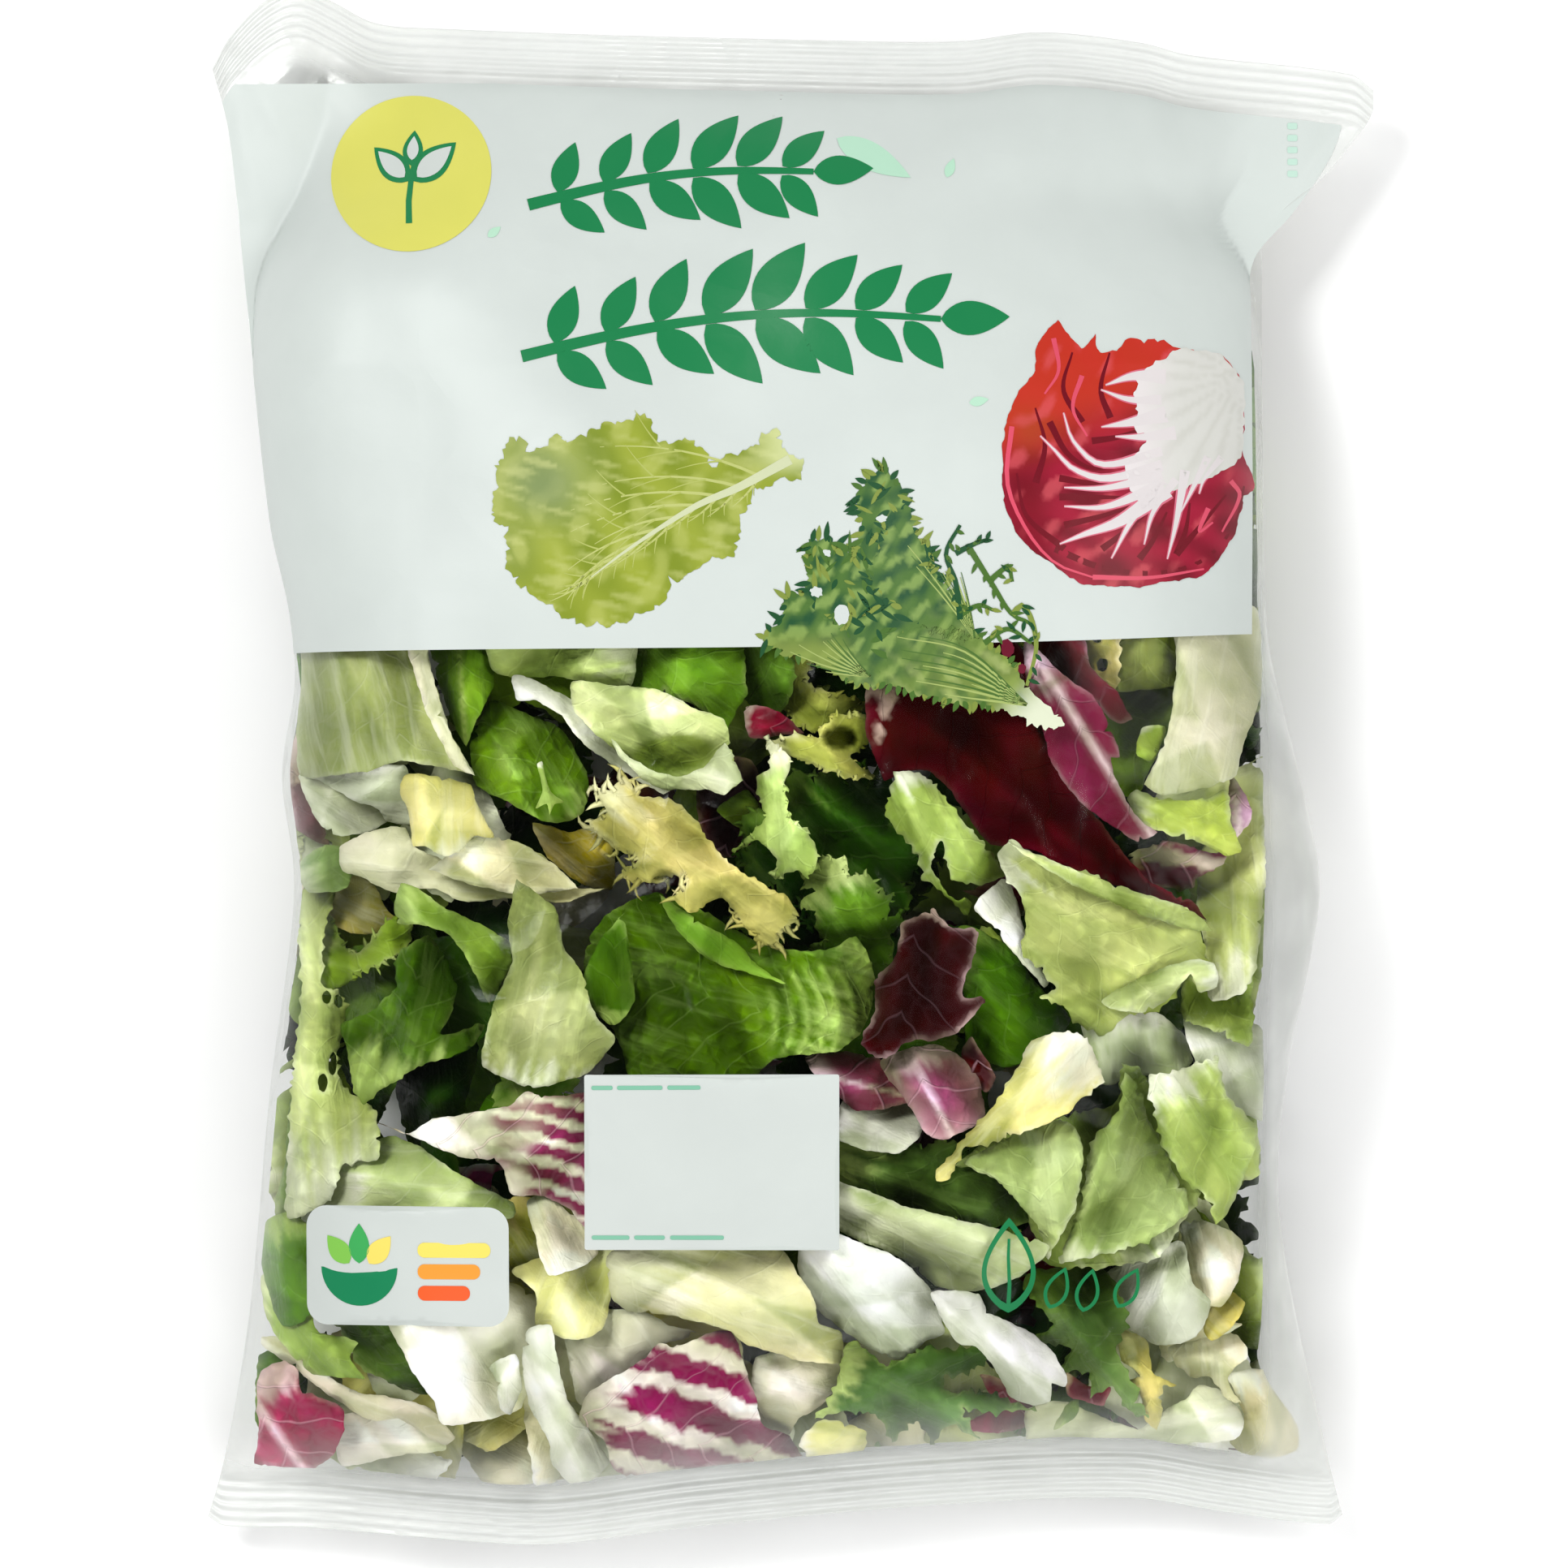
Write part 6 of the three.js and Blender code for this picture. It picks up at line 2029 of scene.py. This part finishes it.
def lay_fillers(count, region, sorts, sink, depth, rng, on_floor=False):
    """Cut pieces strewn at random through one region of the bag."""
    x0, x1, y0, y1 = region
    for _ in range(count):
        cx, cy = rng.uniform(x0, x1), rng.uniform(y0, y1)
        size = rng.uniform(13, 24)
        outline, turn = filler_outline(cx, cy, size, rng)
        sort = sorts[int(rng.integers(len(sorts)))]
        reach = size * np.array([math.cos(turn), math.sin(turn)])
        rib = (cx - reach[0], cy - reach[1], cx + reach[0], cy + reach[1])
        curly = SORTS[sort][3] == "frisee_leaves"
        traits = dict(
            spacing=2.4, tooth=1.6 if curly else 0.5, pitch=2.6, lobes=(6.0, 8.5) if curly else None,
            sink=rng.uniform(*sink), ruffle=rng.uniform(2, 5), veins=0.35,
            ribs=0.6 if sort in ("chicory", "white", "cream") else 0.0,
        )
        if sort == "stripe":
            traits["bands"] = (8.0, 0.8)
        lay_leaf(sort, rib, outline, traits, rng, depth, on_floor)


WINDOW = (-104, 97, -146, 30)
UNDER_PANEL = (-108, 98, 24, 128)
ALL_OVER = (-108, 100, -146, 126)
# Cut pieces strewn under the window's leaves: how many, the region, the sorts and how far they sink
PALE_SINK = (0, 1.5)
TOP_BEDS = [
    (14, (-100, -8, -152, -118), ("white", "cream", "cream", "yellow"), PALE_SINK),
    (10, (0, 96, -148, -118), ("white", "cream", "chicory", "light"), PALE_SINK),
    (8, (74, 98, -140, -60), ("white", "cream", "light"), PALE_SINK),
    (5, (84, 98, -50, 22), ("light", "chicory"), PALE_SINK),
    (6, (-100, -70, -30, 22), ("chicory", "light", "white"), PALE_SINK),
    (5, (-104, -94, -110, -30), ("light", "fresh"), PALE_SINK),
    (4, (-62, -8, 4, 26), ("light", "fresh"), PALE_SINK),
    (4, (-60, -44, -116, -90), ("cream", "yellow"), PALE_SINK),
    (34, WINDOW, ("dark", "forest", "mid", "dark", "forest", "mid", "red", "curly"), (2, 7)),
    (34, WINDOW, ("dark", "forest"), (2, 5)),
    (30, UNDER_PANEL, ("light", "chicory", "fresh", "mid", "yellow", "red", "lime"), (0, 3)),
    (26, ALL_OVER, ("dark", "mid", "forest"), (2, 6)),
]
MIXED = (
    "light", "mid", "chicory", "yellow", "white", "fresh", "red", "stripe", "lime", "curly", "cream", "dark",
)
# The same for the leaves on the lower film
FLOOR_BEDS = [(80, ALL_OVER, MIXED, (0, 3)), (24, ALL_OVER, ("dark", "mid"), (2, 6))]


def make_leaves():
    """All leaves: the ones that show in the window, those under them, and those on the lower film."""
    rng = np.random.default_rng(2026)
    for sort, rib, outline, given in LEAVES:
        lay_leaf(sort, rib, outline, given, rng, from_top)
    for bed in TOP_BEDS:
        lay_fillers(*bed, from_top, rng)
    for bed in FLOOR_BEDS:
        lay_fillers(*bed, from_floor, rng, on_floor=True)
    green = leaf_material(
        "green leaf", (196, 212, 132), own=0.85, side=0.36, long=0.42, net=0.06, pucker=0.9,
        roughness=0.36, mottle=0.22,
    )
    pale = leaf_material(
        "pale leaf", (248, 248, 236), own=0.2, side=0.2, long=0.4, net=0.08, pucker=0.3,
        roughness=0.36, mottle=0.12,
    )
    red = leaf_material(
        "red leaf", (232, 190, 200), own=0.3, side=0.7, long=0.0, net=0.08, pucker=0.9,
        roughness=0.34, mottle=0.3,
    )
    finishes = {
        "escarole_leaves": (green, "green_leaf"), "green_leaves": (green, "green_leaf"),
        "frisee_leaves": (green, "green_leaf"), "chicory_pieces": (pale, "pale_leaf"),
        "radicchio_leaves": (red, "red_leaf"),
    }
    for name, gathered in kinds.items():
        gathered.make(name, *finishes[name])


make_leaves()

# Floor, light and camera


# Metres from the middle of the floor to its edges
FLOOR_REACH = 6.0


def make_stage():
    """A plain pale floor that runs out of the picture."""
    mesh = bpy.data.meshes.new("pale_floor")
    corners = [(FLOOR_REACH * a, FLOOR_REACH * b, 0) for a, b in ((-1, -1), (1, -1), (1, 1), (-1, 1))]
    mesh.from_pydata(corners, [], [(0, 1, 2, 3)])
    material, tree, shader = new_material("pale floor", Roughness=0.9, Specular_IOR_Level=0.1)
    place = add_node(tree, "ShaderNodeTexCoord").outputs["Object"]
    cloud = add_node(tree, "ShaderNodeTexNoise", {"Vector": place, "Scale": 3.0, "Detail": 2.0}).outputs[0]
    tone = add_node(tree, "ShaderNodeValToRGB", {0: cloud})
    tone.color_ramp.elements[0].color = (0.94, 0.94, 0.94, 1)
    tone.color_ramp.elements[1].color = (0.96, 0.96, 0.96, 1)
    tree.links.new(tone.outputs[0], shader.inputs["Base Color"])
    mesh.materials.append(material)
    floor = bpy.data.objects.new("pale_floor", mesh)
    bpy.context.scene.collection.objects.link(floor)


# Soft boxes: place and size in metres, and power in watts
SOFT_BOXES = {
    "key_left": ((-0.8, 0.75, 1.45), 0.6, 22),
    "fill_right": ((1.2, 0.1, 1.3), 1.1, 16),
    "foot_light": ((-0.1, -1.4, 1.1), 1.0, 14),
}
WORLD_STRENGTH = 0.3
AIM = Vector((0, 0, 0.03))


def make_lights():
    """Square soft boxes aimed at the middle of the bag, and an even white surround."""
    for name, (place, size, power) in SOFT_BOXES.items():
        light = bpy.data.lights.new(name, "AREA")
        light.size = size
        light.energy = power
        lamp = bpy.data.objects.new(name, light)
        lamp.location = place
        lamp.rotation_euler = (AIM - Vector(place)).to_track_quat("-Z", "Y").to_euler()
        bpy.context.scene.collection.objects.link(lamp)
    world = bpy.data.worlds.new("studio")
    world.use_nodes = True
    surround = world.node_tree.nodes["Background"]
    surround.inputs[0].default_value = (1, 1, 1, 1)
    surround.inputs[1].default_value = WORLD_STRENGTH
    bpy.context.scene.world = world


FRAME_WIDTH = 0.3381
PHOTO_MIDDLE = (-0.0013, -0.0037)
CAMERA_HEIGHT = 2.4
BAG_MIDDLE_HEIGHT = 0.03
SENSOR = 36.0


def make_camera():
    """Straight down from far off, as the pack shot was taken."""
    camera = bpy.data.cameras.new("pack_camera")
    camera.sensor_width = SENSOR
    camera.lens = SENSOR * (CAMERA_HEIGHT - BAG_MIDDLE_HEIGHT) / FRAME_WIDTH
    camera.clip_end = 50
    rig = bpy.data.objects.new("pack_camera", camera)
    rig.location = (*PHOTO_MIDDLE, CAMERA_HEIGHT)
    bpy.context.scene.collection.objects.link(rig)
    bpy.context.scene.camera = rig


make_stage()
make_lights()
make_camera()
bpy.context.scene.view_settings.view_transform = "Standard"
